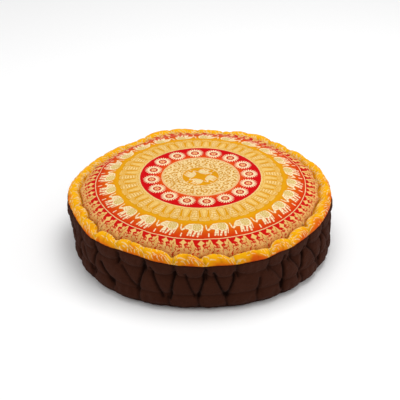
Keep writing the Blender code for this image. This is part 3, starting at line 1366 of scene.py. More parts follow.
def noise(place: Value, scale: float, detail: float = 2.0) -> Value:
    """Reads smooth noise at a place.

    Args:
        place: The place.
        scale: How many swells there are in one of the place's units.
        detail: How many finer layers of noise are added.

    Returns:
        The noise, from 0 to 1.
    """
    node = place.tree.nodes.new("ShaderNodeTexNoise")
    feed([node.inputs["Vector"], node.inputs["Scale"], node.inputs["Detail"]], (place, scale, detail))
    return Value(node.outputs["Fac"])


def cells(place: Value, size: float) -> tuple[Value, Value]:
    """Splits a flat place into uneven cells.

    Args:
        place: The place.
        size: The cells' mean size, in the place's own units.

    Returns:
        The distance from the cell's middle in cells, and the middle's place.
    """
    node = place.tree.nodes.new("ShaderNodeTexVoronoi")
    node.voronoi_dimensions = "2D"
    feed([node.inputs["Vector"], node.inputs["Scale"]], (place, 1 / size))
    return Value(node.outputs["Distance"]), Value(node.outputs["Position"])


def mixed(share: Value, under: Value | tuple, over: Value | tuple) -> Value:
    """Lays one colour over another.

    Args:
        share: How much of the upper colour shows.
        under: The lower colour.
        over: The upper colour.

    Returns:
        The mixed colour.
    """
    node = share.tree.nodes.new("ShaderNodeMix")
    node.data_type = "RGBA"
    feed([node.inputs[0], node.inputs[6], node.inputs[7]], (share, under, over))
    return Value(node.outputs[2])


def shaded(colour: Value, strength: Value) -> Value:
    """Makes a colour darker or lighter.

    Args:
        colour: The colour.
        strength: What it is multiplied with.

    Returns:
        The changed colour.
    """
    node = colour.tree.nodes.new("ShaderNodeHueSaturation")
    feed([node.inputs["Color"], node.inputs["Value"]], (colour, strength))
    return Value(node.outputs["Color"])


@dataclass
class Stencil:
    """A node group that draws one motif, built once and used where the motif is printed."""

    name: str
    inputs: dict[str, Kind]
    outputs: tuple[str, ...]
    draw: Callable[..., Sequence[Value]]
    group: bpy.types.NodeTree | None = None

    def build(self) -> None:
        """Makes the group and draws the motif in it."""
        self.group = bpy.data.node_groups.new(self.name, "ShaderNodeTree")
        for title, kind in self.inputs.items():
            self.group.interface.new_socket(title, in_out="INPUT", socket_type=kind.value)
        for title in self.outputs:
            self.group.interface.new_socket(title, in_out="OUTPUT", socket_type=Kind.NUMBER.value)
        entry = self.group.nodes.new("NodeGroupInput")
        exit_node = self.group.nodes.new("NodeGroupOutput")
        feed(exit_node.inputs, self.draw(*(Value(entry.outputs[title]) for title in self.inputs)))

    def use(self, *given: Value | float | tuple) -> tuple[Value, ...]:
        """Places the group in a tree.

        Args:
            given: A value or a plain number or vector for each input, in order.

        Returns:
            The group's outputs.
        """
        if self.group is None:
            self.build()
        node = tree_of(given).nodes.new("ShaderNodeGroup")
        node.node_tree = self.group
        feed(node.inputs, given)
        return tuple(Value(node.outputs[title]) for title in self.outputs)


def draw_stroke(
    place: Value, start: Value, end: Value, start_radius: Value, end_radius: Value
) -> list[Value]:
    """Works out the distance from a tapered brush stroke.

    Args:
        place: The place in the motif.
        start: The stroke's start.
        end: Its end.
        start_radius: Its radius at the start.
        end_radius: Its radius at the end.

    Returns:
        The distance, below zero inside the stroke.
    """
    along = vector_work("SUBTRACT", end, start)
    off = vector_work("SUBTRACT", place, start)
    share = (vector_work("DOT_PRODUCT", off, along) / vector_work("DOT_PRODUCT", along, along)).between(0, 1)
    nearest = vector_work("SCALE", along, share)
    away = vector_work("LENGTH", vector_work("SUBTRACT", off, nearest))
    return [away - (start_radius + (end_radius - start_radius) * share)]


def draw_blob(place: Value, middle: Value, half: Value) -> list[Value]:
    """Works out the rough distance from an oval.

    Args:
        place: The place in the motif.
        middle: The oval's middle.
        half: Half its width and height.

    Returns:
        The distance, below zero inside the oval.
    """
    off = vector_work("DIVIDE", vector_work("SUBTRACT", place, middle), half)
    across, along, _ = parts(half)
    return [(vector_work("LENGTH", off) - 1.0) * work("MINIMUM", across, along)]


STROKE = Stencil(
    "brush_stroke",
    {
        "Place": Kind.VECTOR,
        "Start": Kind.VECTOR,
        "End": Kind.VECTOR,
        "Start Radius": Kind.NUMBER,
        "End Radius": Kind.NUMBER,
    },
    ("Distance",),
    draw_stroke,
)
BLOB = Stencil(
    "oval_blob",
    {"Place": Kind.VECTOR, "Middle": Kind.VECTOR, "Half Size": Kind.VECTOR},
    ("Distance",),
    draw_blob,
)


class Dab(NamedTuple):
    """One brush stroke of a motif, in millimetres: its ends and its radius at each."""

    start: tuple[float, float]
    end: tuple[float, float]
    start_radius: float
    end_radius: float

    def on(self, place: Value) -> Value:
        """Gives the distance from the stroke."""
        start, end = (*self.start, 0.0), (*self.end, 0.0)
        return STROKE.use(place, start, end, self.start_radius, self.end_radius)[0]


class Oval(NamedTuple):
    """One oval of a motif, in millimetres: its middle and half its width and height."""

    middle: tuple[float, float]
    half: tuple[float, float]

    def on(self, place: Value) -> Value:
        """Gives the distance from the oval's edge."""
        return BLOB.use(place, (*self.middle, 0.0), (*self.half, 1.0))[0]


def joined(place: Value, shapes: Sequence[Dab | Oval], melt: float = 0.0) -> Value:
    """Gives the distance from the nearest of several shapes.

    Args:
        place: The place in the motif.
        shapes: The strokes and ovals.
        melt: How far neighbouring shapes run into each other.

    Returns:
        The distance.
    """
    nearest = shapes[0].on(place)
    for shape in shapes[1:]:
        if melt:
            nearest = work("SMOOTH_MIN", nearest, shape.on(place), melt)
        else:
            nearest = work("MINIMUM", nearest, shape.on(place))
    return nearest


# The elephant walks to the left: X to the right and Y up to the middle of the print, in millimetres
ELEPHANT_BODY = (
    Oval((11.2, 8.4), (12.4, 12.6)),
    Dab((-3.6, 13.6), (-2.2, 0.0), 5.6, 4.0),
    Oval((-8.6, 9.2), (6.4, 7.0)),
    Dab((-4.0, 14.6), (8.0, 16.6), 4.2, 4.4),
    Dab((-12.0, 7.5), (-5.5, 14.0), 4.8, 5.2),
    Dab((-15.5, 5.6), (-21.0, 1.0), 2.8, 2.0),
    Dab((-21.0, 1.0), (-24.2, 4.6), 2.0, 1.6),
    Dab((-24.2, 4.6), (-24.0, 16.6), 1.6, 1.2),
)
ELEPHANT_LEGS = (
    Dab((-3.6, -1.0), (-8.4, -13.6), 2.6, 2.0),
    Dab((-0.8, -1.0), (-2.2, -14.2), 2.2, 2.0),
    Dab((8.6, -2.5), (3.8, -15.6), 2.6, 2.0),
    Dab((16.0, -1.5), (13.8, -16.2), 3.0, 2.0),
    Dab((22.8, 4.0), (20.2, -10.6), 0.9, 0.9),
    Dab((-21.8, -9.0), (-22.8, -16.4), 1.3, 1.5),
)
ELEPHANT_CLOTH = Dab((10.4, 8.4), (10.0, 12.6), 9.2, 9.0)
ELEPHANT_CLOTH_MIDDLE = (10.2, 10.6, 0.0)
ELEPHANT_EAR = Oval((-4.6, 9.4), (3.4, 5.0))
ELEPHANT_EYE = Oval((-11.2, 10.4), (0.9, 0.9))
# How far the parts of its body run into each other, and half the width of a fine drawn line
ELEPHANT_MELT = 1.2
HALF_LINE = 0.5
# The pattern of its cloth: radians of the ripples for each millimetre, and petals round the middle
CLOTH_RIPPLES = 1.5
CLOTH_PETALS = 7.0


def draw_elephant(place: Value) -> list[Value]:
    """Draws the elephant.

    Args:
        place: The place in the motif.

    Returns:
        Where its body, the cloth on its back, that cloth's pattern and the ear and eye are.
    """
    whole = joined(place, ELEPHANT_BODY, melt=ELEPHANT_MELT)
    body = work("MINIMUM", whole, joined(place, ELEPHANT_LEGS))
    cloth = ELEPHANT_CLOTH.on(place)
    ripples = work("SINE", cloth * CLOTH_RIPPLES)
    across, along, _ = parts(vector_work("SUBTRACT", place, ELEPHANT_CLOTH_MIDDLE))
    petals = work("SINE", work("ARCTAN2", along, across) * CLOTH_PETALS)
    pattern = (ripples + petals * 0.9).between(0.2, 0.9)
    ear = abs(ELEPHANT_EAR.on(place)) - HALF_LINE
    marks = work("MINIMUM", ear, ELEPHANT_EYE.on(place))
    return [body.inked(), cloth.inked(), pattern, marks.inked(0.25)]


ELEPHANT = Stencil(
    "elephant",
    {"Place": Kind.VECTOR},
    ("Body", "Cloth", "Pattern", "Marks"),
    draw_elephant,
)


def draw_ring(turn: Value, radius: Value, count: Value, phase: Value, middle: Value) -> list[Value]:
    """Repeats a motif round the print.

    Args:
        turn: The angle round the print.
        radius: The distance from the middle of the print.
        count: The number of repeats.
        phase: The angle of the first.
        middle: The radius at which the motif stands.

    Returns:
        The place across the motif and up it, towards the middle of the print, both straight, and the
        place along the ring.
    """
    step = work("DIVIDE", 2 * math.pi, count)
    from_first = turn - phase
    number = work("ROUND", from_first / step)
    angle = from_first - number * step
    across = radius * work("SINE", angle)
    up = middle - radius * work("COSINE", angle)
    return [across, up, angle * middle]


RING = Stencil(
    "ring_of_motifs",
    {
        "Turn": Kind.NUMBER,
        "Radius": Kind.NUMBER,
        "Count": Kind.NUMBER,
        "Phase": Kind.NUMBER,
        "Middle": Kind.NUMBER,
    },
    ("Across", "Up", "Along"),
    draw_ring,
)


# How many petals a flower and its rosette have, their twist for each millimetre and its turn
PETALS = 20
ROSETTE_LOBES = 5.0
PETAL_TWIST = 0.035
ROSETTE_TURN = 0.6
# The flower's radii, in millimetres
PETAL_FOOT = 12.2
PETAL_LENGTH = 8.4
HEART_INNER = 9.3
HEART_OUTER = 10.1
ROSETTE_RADIUS = 5.6
ROSETTE_WAVE = 1.3
FLOWER_EYE = 1.5


def draw_flower(place: Value) -> list[Value]:
    """Draws a round flower of pointed petals with a rosette in its heart.

    Args:
        place: The place from the flower's middle.

    Returns:
        Where its petals, its rosette and its heart are.
    """
    across, along, _ = parts(place)
    radius = vector_work("LENGTH", place)
    angle = work("ARCTAN2", along, across)
    wave = work("FRACT", angle * (PETALS / (2 * math.pi)) + radius * PETAL_TWIST + 10.0)
    petal = 1.0 - abs(wave * 2.0 - 1.0)
    edge = radius - (petal * PETAL_LENGTH + PETAL_FOOT)
    gap = petal.between(0.44, 0.18) * radius.between(11.0, 13.0)
    petals = edge.inked() * radius.between(HEART_INNER, HEART_OUTER) * (1.0 - gap * 0.75)
    lobes = work("COSINE", angle * ROSETTE_LOBES + ROSETTE_TURN) * ROSETTE_WAVE
    rosette = (radius - (lobes + ROSETTE_RADIUS)).inked(0.5)
    eye = (radius - FLOWER_EYE).inked(0.5)
    return [petals, rosette * (1.0 - eye), radius.between(HEART_OUTER, HEART_INNER)]


FLOWER = Stencil("flower", {"Place": Kind.VECTOR}, ("Petals", "Rosette", "Heart"), draw_flower)

# A pair of columns, along the ring and outwards from the middle of the print, in millimetres
COLUMN_HALF_REPEAT = 20.7
COLUMN_WIDE = Dab((0.0, 149.0), (0.0, 176.0), 7.8, 9.4)
COLUMN_NARROW = (
    Dab((COLUMN_HALF_REPEAT, 147.0), (COLUMN_HALF_REPEAT, 169.0), 9.2, 5.4),
    Oval((COLUMN_HALF_REPEAT, 178.6), (2.8, 2.8)),
    Dab((13.6, 176.0), (13.6, 182.6), 2.4, 3.6),
    Oval((COLUMN_HALF_REPEAT, 184.6), (4.2, 2.4)),
)
# The lines inside the columns, the pitch of the bars across them, and the band of arches
COLUMN_INSET = 2.2
COLUMN_HALF_LINE = 0.6
COLUMN_BARS = 6.4
ARCH_BAND = 142.6
ARCH_BAND_HALF = 4.6
ARCH_LINE = 143.4
ARCH_HEIGHT = 1.3


def draw_columns(along: Value, radius: Value) -> list[Value]:
    """Draws a wide pale column between two narrow ones under a band of small arches.

    Args:
        along: The place along the ring.
        radius: The distance from the middle of the print.

    Returns:
        Where the columns, the lines on them and the wide one's core are.
    """
    place = combined(abs(along), radius)
    wide = COLUMN_WIDE.on(place)
    narrow = joined(place, COLUMN_NARROW)
    band = abs(radius - ARCH_BAND) - ARCH_BAND_HALF
    ink = largest(wide.inked(0.5), narrow.inked(0.5), band.inked())
    wide_line = (abs(wide + COLUMN_INSET) - COLUMN_HALF_LINE).inked()
    outline = wide_line + (abs(narrow + COLUMN_INSET) - COLUMN_HALF_LINE).inked()
    bars = work("SINE", radius * (2 * math.pi / COLUMN_BARS)).between(0.35, 0.85)
    bars = bars * (wide + (COLUMN_INSET + COLUMN_HALF_LINE)).inked()
    arches = work("SINE", along * (4 * math.pi / COLUMN_HALF_REPEAT)) * ARCH_HEIGHT
    beads = (abs(radius - arches - ARCH_LINE) - HALF_LINE).inked()
    return [ink, largest(outline, bars, beads), (wide + COLUMN_INSET).inked(0.6)]


COLUMNS = Stencil(
    "columns",
    {"Along": Kind.NUMBER, "Radius": Kind.NUMBER},
    ("Ink", "Lines", "Core"),
    draw_columns,
)

# A star and a domed tree, along the ring and outwards from the middle of the print, in millimetres
STAR = (
    Oval((-9.2, 250.8), (7.4, 2.9)),
    Oval((-9.4, 249.8), (3.0, 7.2)),
    Oval((-9.2, 250.4), (5.2, 4.8)),
    Dab((-9.0, 254.0), (-7.4, 264.0), 2.0, 1.4),
)
TREE = (
    Dab((9.8, 244.6), (9.4, 262.0), 2.2, 9.4),
    Oval((3.4, 251.0), (2.6, 3.2)),
)
MEADOW_GAPS = (
    Dab((-19.6, 249.0), (-14.6, 263.5), 2.0, 1.5),
    Dab((-5.0, 256.0), (-2.4, 263.5), 1.3, 1.1),
)
FIGURE_MELT = 0.8
# The wavy edge of the flowers that the figures stand in, and the specks on star and flowers
MEADOW_EDGE = 258.2
MEADOW_WAVES = 0.95
MEADOW_DEPTH = 1.1
SPECK_SIZE = 4.6
# How far inside its outline the tree's crown is darker
TREE_INSET = 1.6


def draw_figures(along: Value, radius: Value) -> list[Value]:
    """Draws the star and the tree, and the crowded flowers that they stand in.

    Args:
        along: The place along the ring.
        radius: The distance from the middle of the print.

    Returns:
        Where the figures, the specks on them and the tree's crown are.
    """
    place = combined(along, radius)
    drop = work("SINE", along * MEADOW_WAVES) * MEADOW_DEPTH
    meadow = MEADOW_EDGE - radius + drop
    ink = joined(place, (*STAR, *TREE), melt=FIGURE_MELT).inked(0.45)
    flowers = meadow.inked(0.6) * (1.0 - joined(place, MEADOW_GAPS).inked(0.5))
    cell, _ = cells(place, SPECK_SIZE)
    specks = cell.between(0.42, 0.62) * radius.between(246.0, 251.0)
    heart = cell.between(0.20, 0.12) * radius.between(254.0, 257.0)
    tree = (joined(place, TREE) + TREE_INSET).inked(0.8)
    star = joined(place, STAR, melt=FIGURE_MELT).between(-0.5, 1.0)
    return [largest(ink, flowers), largest(specks, heart) * star, tree]


FIGURES = Stencil(
    "star_and_tree",
    {"Along": Kind.NUMBER, "Radius": Kind.NUMBER},
    ("Ink", "Specks", "Tree"),
    draw_figures,
)

# The scrolls, in millimetres, and how their starts turn with their places
SCROLL_SIZE = 17.0
SCROLL_PITCH = 7.4
SCROLL_TURN = 1.7
SCROLL_LEAF = 6.0


def draw_scrolls(place: Value) -> list[Value]:
    """Draws crowded curls with small leaves between them.

    Args:
        place: The place on the print.

    Returns:
        Where the scrolls are.
    """
    _, middle = cells(place, SCROLL_SIZE)
    off = vector_work("SUBTRACT", place, middle)
    across, along, _ = parts(off)
    radius = vector_work("LENGTH", off)
    start_x, start_y, _ = parts(middle)
    angle = work("ARCTAN2", along, across) + (start_x + start_y) * SCROLL_TURN
    curl = work("SINE", angle + radius * (2 * math.pi / SCROLL_PITCH))
    leaf, _ = cells(place, SCROLL_LEAF)
    ink = curl.between(-0.35, 0.35) * radius.between(11.0, 9.4)
    leaves = leaf.between(0.54, 0.38) * radius.between(7.4, 9.0)
    return [largest(ink, leaves)]


SCROLLS = Stencil("scrolls", {"Place": Kind.VECTOR}, ("Ink",), draw_scrolls)

# A spray of leaves on the rolled edge, along the ring and outwards, in millimetres
SPRAY = (
    Dab((-15.0, 284.0), (-4.0, 291.0), 0.5, 1.0),
    Dab((-4.0, 291.0), (6.0, 286.0), 1.0, 0.6),
    Dab((6.0, 286.0), (15.0, 279.0), 0.6, 1.0),
    Dab((-10.0, 288.0), (-12.0, 296.0), 1.3, 0.4),
    Dab((-3.0, 290.0), (-1.0, 300.0), 1.5, 0.4),
    Dab((2.0, 288.0), (8.0, 295.0), 1.4, 0.4),
    Dab((8.0, 284.0), (13.0, 291.0), 1.3, 0.4),
    Dab((-7.0, 289.0), (-5.0, 280.0), 1.3, 0.4),
    Dab((1.0, 288.0), (3.0, 278.0), 1.4, 0.4),
    Dab((-13.0, 302.0), (-2.0, 305.0), 0.5, 1.2),
    Dab((3.0, 303.0), (13.0, 307.0), 1.2, 0.5),
)
HEM_DASH = (
    Dab((-2.2, 314.5), (1.8, 321.5), 1.5, 0.7),
    Oval((3.2, 312.5), (1.2, 1.2)),
)


def draw_edge_leaves(along: Value, radius: Value) -> list[Value]:
    """Draws the leaves of the rolled edge."""
    return [joined(combined(along, radius), SPRAY).inked(0.5)]


def draw_edge_dashes(along: Value, radius: Value) -> list[Value]:
    """Draws the dashes along the seam."""
    return [joined(combined(along, radius), HEM_DASH).inked(0.5)]


EDGE_INPUTS = {"Along": Kind.NUMBER, "Radius": Kind.NUMBER}
EDGE_LEAVES = Stencil("edge_leaves", EDGE_INPUTS, ("Ink",), draw_edge_leaves)
EDGE_DASHES = Stencil("edge_dashes", EDGE_INPUTS, ("Ink",), draw_edge_dashes)


# Noise that runs along a thread, stretched by the first number and this fine across the threads
SLUB_STRETCH = 0.05
SLUB_SCALE = 0.7


def draw_weave(across: Value, along: Value, pitch: Value) -> list[Value]:
    """Draws a plain weave.

    Args:
        across: The place along the weft.
        along: The place along the warp.
        pitch: The distance between threads, in the same units.

    Returns:
        The height of the threads, from 0 to 1, and a slight unevenness from thread to thread.
    """
    weft, warp = along / pitch, across / pitch
    over = work("PINGPONG", work("FLOOR", weft) + work("FLOOR", warp), 1.0)
    weft_height = abs(work("SINE", weft * math.pi))
    warp_height = abs(work("SINE", warp * math.pi))
    height = warp_height + (weft_height - warp_height) * over
    threads = combined(work("FLOOR", weft), work("FLOOR", warp))
    on_weft = vector_work("MULTIPLY", threads, (SLUB_STRETCH, 1.0, 1.0))
    slub = noise(on_weft, SLUB_SCALE) * (1.0 - over)
    on_warp = vector_work("MULTIPLY", threads, (1.0, SLUB_STRETCH, 1.0))
    return [height, slub + noise(on_warp, SLUB_SCALE) * over]


WEAVE = Stencil(
    "plain_weave",
    {"Across": Kind.NUMBER, "Along": Kind.NUMBER, "Pitch": Kind.NUMBER},
    ("Height", "Slub"),
    draw_weave,
)


CLOTH_ROUGHNESS = 0.9
FIBRE_ROUGHNESS = 0.6
MILLIMETRES = 1000.0


def cloth_material(name: str, sheen: float, gloss: float) -> tuple[bpy.types.Material, bpy.types.Node]:
    """Makes a matt cloth material.

    Args:
        name: Its name.
        sheen: How much its fibres catch the light at a slant.
        gloss: How much light its threads mirror, as the shader's specular level.

    Returns:
        The material and its shader.
    """
    material = bpy.data.materials.new(name)
    material.use_nodes = True
    shader = material.node_tree.nodes["Principled BSDF"]
    shader.inputs["Roughness"].default_value = CLOTH_ROUGHNESS
    shader.inputs["Specular IOR Level"].default_value = gloss
    shader.inputs["Sheen Weight"].default_value = sheen
    shader.inputs["Sheen Roughness"].default_value = FIBRE_ROUGHNESS
    return material, shader


def cloth_place(material: bpy.types.Material) -> Value:
    """Reads the place on the flat cloth.

    Args:
        material: The material that reads it.

    Returns:
        The place, in millimetres.
    """
    node = material.node_tree.nodes.new("ShaderNodeAttribute")
    node.attribute_name = PLACE
    return vector_work("MULTIPLY", Value(node.outputs["Vector"]), (MILLIMETRES,) * 3)


def tuck_depth(material: bpy.types.Material) -> Value:
    """Reads how deep in a tuck the cloth lies, the mask of the painted shade in the tucks.

    Args:
        material: The material that reads it.

    Returns:
        The depth, from 0 to 1.
    """
    node = material.node_tree.nodes.new("ShaderNodeAttribute")
    node.attribute_name = TUCK
    return Value(node.outputs["Fac"])


def bumped(shader: bpy.types.Node, layers: Sequence[tuple[Value, float]]) -> None:
    """Gives a shader its fine relief.

    Args:
        shader: The shader.
        layers: A height from 0 to 1 and its real height in metres, for each layer.
    """
    normal: Value | None = None
    for height, distance in layers:
        node = height.tree.nodes.new("ShaderNodeBump")
        feed([node.inputs["Height"], node.inputs["Distance"]], (height, distance))
        if normal:
            feed([node.inputs["Normal"]], (normal,))
        normal = Value(node.outputs["Normal"])
    feed([shader.inputs["Normal"]], (normal,))


class Band(NamedTuple):
    """A stop of the print's ground: the radius in millimetres and the dye there."""

    radius: float
    dye: Ink


class Repeat(NamedTuple):
    """How a motif repeats round the print: how often, the first one's turn and the radius of its middle."""

    count: float
    phase: float
    middle: float

    def around(self, turn: Value, radius: Value) -> tuple[Value, ...]:
        """Gives the place across each motif, up it and along the ring."""
        return RING.use(turn, radius, self.count, math.radians(self.phase), self.middle)


FLOWERS = Repeat(16.0, 6.8, 111.6)
COLUMN_PAIRS = Repeat(25.0, -4.5, 165.0)
STARS_AND_TREES = Repeat(40.0, -6.6, 252.0)
SPRAYS = Repeat(60.0, 0.0, 295.0)
HEM_DASHES = Repeat(168.0, 0.0, 316.0)
SMALL_ELEPHANTS = Repeat(4.0, -27.9, 26.4)
LARGE_ELEPHANTS = Repeat(24.0, -5.0, 216.0)
# The small elephants' size as a share of the large ones'
SMALL_ELEPHANT_SIZE = 0.66

# The inner and the outer radius of each ring and thin circle of the print, in millimetres
SMALL_ELEPHANT_DISC = (0.0, 41.0)
SCROLL_RING = (43.0, 84.6)
FLOWER_RING = (89.0, 137.6)
COLUMN_RING = (139.6, 188.0)
ELEPHANT_RING = (189.0, 238.8)
FIGURE_RING = (241.2, 280.4)
CIRCLES = (
    (41.6, 42.8),
    (84.8, 86.2),
    (87.2, 88.8),
    (137.8, 139.4),
    (239.2, 240.9),
)
# Inside this radius the elephants are small
SMALL_ELEPHANT_REACH = 60.0
# The flecks in the worn ink of the columns and the elephants
FLECK_SIZE = 3.6

# How the print of the rolled edge strays, in millimetres and radians, and where it is redder
STRAY_SCALE = 0.035
STRAY_ACROSS = 16.0
STRAY_TURN = 0.10
LEAF_SHIFT = 5.0
REDDER_TURN = 1.25
BLUSH_FROM = 298.0
BLUSH_FULL = 318.0


def blend(share: Value, first: float, second: float) -> Value:
    """Goes from the first number at share 0 to the second at share 1."""
    return share * (second - first) + first


@dataclass(frozen=True)
class PrintedCotton:
    """Cotton printed by hand with rings of figures on mustard, orange and red."""

    cream: Ink = Ink(234, 206, 148)
    straw: Ink = Ink(236, 200, 118)
    pale: Ink = Ink(242, 229, 184)
    peach: Ink = Ink(234, 172, 116)
    saddle: Ink = Ink(208, 170, 80)
    mustard: Ink = Ink(206, 138, 14)
    heart: Ink = Ink(192, 30, 12)
    blush: Ink = Ink(214, 70, 12)
    speck: Ink = Ink(196, 34, 8)
    full_radius: float = 340.0
    pitch: float = 0.55
    shift: tuple[float, float, float] = (-0.4, 1.5, 0.0)
    wander: float = 2.0
    wander_scale: float = 0.16
    elsewhere: tuple[float, float, float] = (400.0, 0.0, 0.0)
    sheen: float = 0.01
    gloss: float = 0.05
    clouds: float = 0.16
    slubs: float = 0.10
    grain: float = 0.12
    least_light: float = 0.80
    # How much painted shade darkens the print deep in the tucks and stitched lines
    tuck_shade: float = 0.6
    crease_height: float = 0.0016
    thread_height: float = 0.00010
    ground: tuple[Band, ...] = (
        Band(0.0, Ink(216, 146, 8)),
        Band(42.0, Ink(216, 146, 8)),
        Band(43.0, Ink(204, 142, 30)),
        Band(85.0, Ink(204, 138, 26)),
        Band(88.4, Ink(220, 84, 12)),
        Band(97.0, Ink(216, 60, 8)),
        Band(108.0, Ink(210, 32, 8)),
        Band(119.0, Ink(204, 2, 10)),
        Band(138.0, Ink(200, 2, 10)),
        Band(139.0, Ink(214, 146, 14)),
        Band(186.0, Ink(216, 148, 8)),
        Band(190.0, Ink(224, 156, 8)),
        Band(200.0, Ink(222, 144, 6)),
        Band(212.0, Ink(218, 106, 8)),
        Band(226.0, Ink(212, 72, 6)),
        Band(238.5, Ink(206, 48, 6)),
        Band(240.5, Ink(200, 12, 8)),
        Band(268.0, Ink(198, 22, 10)),
        Band(277.0, Ink(206, 64, 18)),
        Band(281.5, Ink(236, 168, 12)),
        Band(304.0, Ink(240, 172, 8)),
        Band(318.0, Ink(236, 148, 10)),
        Band(327.0, Ink(224, 104, 12)),
        Band(337.0, Ink(196, 36, 14)),
    )

    def ground_colour(self, radius: Value) -> Value:
        """Paints the ground that the figures stand on.

        Args:
            radius: The distance from the middle of the print.

        Returns:
            The colour.
        """
        node = radius.tree.nodes.new("ShaderNodeValToRGB")
        feed([node.inputs["Fac"]], (radius / self.full_radius,))
        stops = node.color_ramp.elements
        stops.remove(stops[1])
        for number, band in enumerate(self.ground):
            share = band.radius / self.full_radius
            stop = stops.new(share) if number else stops[0]
            stop.position = share
            stop.color = band.dye.linear()
        return Value(node.outputs["Color"])

    def painted(self, place: Value) -> Value:
        """Prints the cloth.

        Args:
            place: The place on the flat cloth, in millimetres from the middle of the print.

        Returns:
            The colour.
        """
        across, along, _ = parts(place)
        radius = vector_work("LENGTH", place)
        turn = work("ARCTAN2", across, along * -1.0)
        colour = self.ground_colour(radius)
        colour = self.with_lines(colour, radius)
        scrolls = SCROLLS.use(place)[0] * radius.within(*SCROLL_RING)
        colour = mixed(scrolls, colour, self.cream.linear())
        colour = self.with_flowers(colour, turn, radius)
        colour = self.with_columns(colour, turn, radius)
        colour = self.with_figures(colour, turn, radius)
        colour = self.with_edge(colour, place, turn, radius)
        return self.with_elephants(colour, turn, radius)

    def with_lines(self, colour: Value, radius: Value) -> Value:
        """Prints the thin circles between the rings."""
        circles = largest(*(radius.within(*circle) for circle in CIRCLES))
        return mixed(circles, colour, self.cream.linear())

    def with_flowers(self, colour: Value, turn: Value, radius: Value) -> Value:
        """Prints sixteen round flowers on the red ring.

        Args:
            colour: The colour below.
            turn: The angle round the print.
            radius: The distance from the middle of the print.

        Returns:
            The printed colour.
        """
        across, up, _ = FLOWERS.around(turn, radius)
        petals, rosette, heart = FLOWER.use(combined(across, up))
        ring = radius.within(*FLOWER_RING)
        colour = mixed(heart * ring, colour, self.heart.linear())
        colour = mixed(rosette * ring, colour, self.peach.linear())
        return mixed(petals * ring, colour, self.pale.linear())

    def with_columns(self, colour: Value, turn: Value, radius: Value) -> Value:
        """Prints twenty-five pairs of columns.

        Args:
            colour: The colour below.
            turn: The angle round the print.
            radius: The distance from the middle of the print.

        Returns:
            The printed colour.
        """
        _, _, along = COLUMN_PAIRS.around(turn, radius)
        ink, lines, core = COLUMNS.use(along, radius)
        ring = radius.within(*COLUMN_RING)
        grain, _ = cells(combined(along, radius), FLECK_SIZE)
        fleck = grain.between(0.30, 0.60) * 0.35
        colour = mixed(ink * ring * (1.0 - fleck) * 0.95, colour, self.straw.linear())
        colour = mixed(grain.between(0.36, 0.18) * core * ring * 0.8, colour, self.pale.linear())
        return mixed(lines * ink * ring * 0.85, colour, self.mustard.linear())

    def with_figures(self, colour: Value, turn: Value, radius: Value) -> Value:
        """Prints forty stars and trees on the outer red ring.

        Args:
            colour: The colour below.
            turn: The angle round the print.
            radius: The distance from the middle of the print.

        Returns:
            The printed colour.
        """
        _, _, along = STARS_AND_TREES.around(turn, radius)
        ink, specks, tree = FIGURES.use(along, radius)
        ring = radius.within(*FIGURE_RING, soft=0.8)
        colour = mixed(ink * ring * 0.86, colour, self.straw.linear())
        colour = mixed(tree * ring * 0.4, colour, self.saddle.linear())
        return mixed(specks * ink * ring * 0.9, colour, self.speck.linear())

    def with_edge(self, colour: Value, place: Value, turn: Value, radius: Value) -> Value:
        """Prints the leaves and dashes of the rolled edge, which shift and thin out unevenly.

        Args:
            colour: The colour below.
            place: The place on the print.
            turn: The angle round the print.
            radius: The distance from the middle of the print.

        Returns:
            The printed colour.
        """
        stray = noise(place, STRAY_SCALE, 1.0)
        turn = turn + stray * STRAY_TURN
        radius = radius + stray * STRAY_ACROSS - STRAY_ACROSS / 2
        redder = abs(turn - REDDER_TURN).between(0.34, 0.10) * 0.16
        blush = (noise(place, 0.022, 1.0) + redder).between(0.54, 0.64)
        blush = blush * radius.between(BLUSH_FROM, BLUSH_FULL) * 0.8
        colour = mixed(blush, colour, self.blush.linear())
        _, _, along = SPRAYS.around(turn, radius)
        leaves = EDGE_LEAVES.use(along, radius - LEAF_SHIFT)[0]
        _, _, along = HEM_DASHES.around(turn, radius)
        dashes = EDGE_DASHES.use(along, radius)[0] * noise(place, 0.016, 1.0).between(0.42, 0.50)
        return mixed(largest(leaves, dashes) * 0.8, colour, self.cream.linear())

    def with_elephants(self, colour: Value, turn: Value, radius: Value) -> Value:
        """Prints four small elephants in the middle and twenty-four large ones in the outer ring.

        Args:
            colour: The colour below.
            turn: The angle round the print.
            radius: The distance from the middle of the print.

        Returns:
            The printed colour.
        """
        outer = radius.between(SMALL_ELEPHANT_REACH - 0.1, SMALL_ELEPHANT_REACH + 0.1)
        small, large = SMALL_ELEPHANTS, LARGE_ELEPHANTS
        count = blend(outer, small.count, large.count)
        phase = blend(outer, math.radians(small.phase), math.radians(large.phase))
        middle = blend(outer, small.middle, large.middle)
        size = blend(outer, SMALL_ELEPHANT_SIZE, 1.0)
        across, up, _ = RING.use(turn, radius, count, phase, middle)
        place = combined(across / size, up / size)
        body, cloth, pattern, marks = ELEPHANT.use(place)
        lace, _ = cells(place, FLECK_SIZE)
        ring = largest(radius.within(*SMALL_ELEPHANT_DISC), radius.within(*ELEPHANT_RING))
        worn = outer * 0.15 + 0.85 - lace.between(0.34, 0.62) * 0.5
        colour = mixed(body * ring * worn, colour, self.pale.linear())
        colour = mixed(cloth * ring * (outer * 0.5 + 0.4), colour, self.saddle.linear())
        colour = mixed(cloth * pattern * ring * 0.7, colour, self.pale.linear())
        return mixed(marks * ring * 0.65, colour, self.mustard.linear())

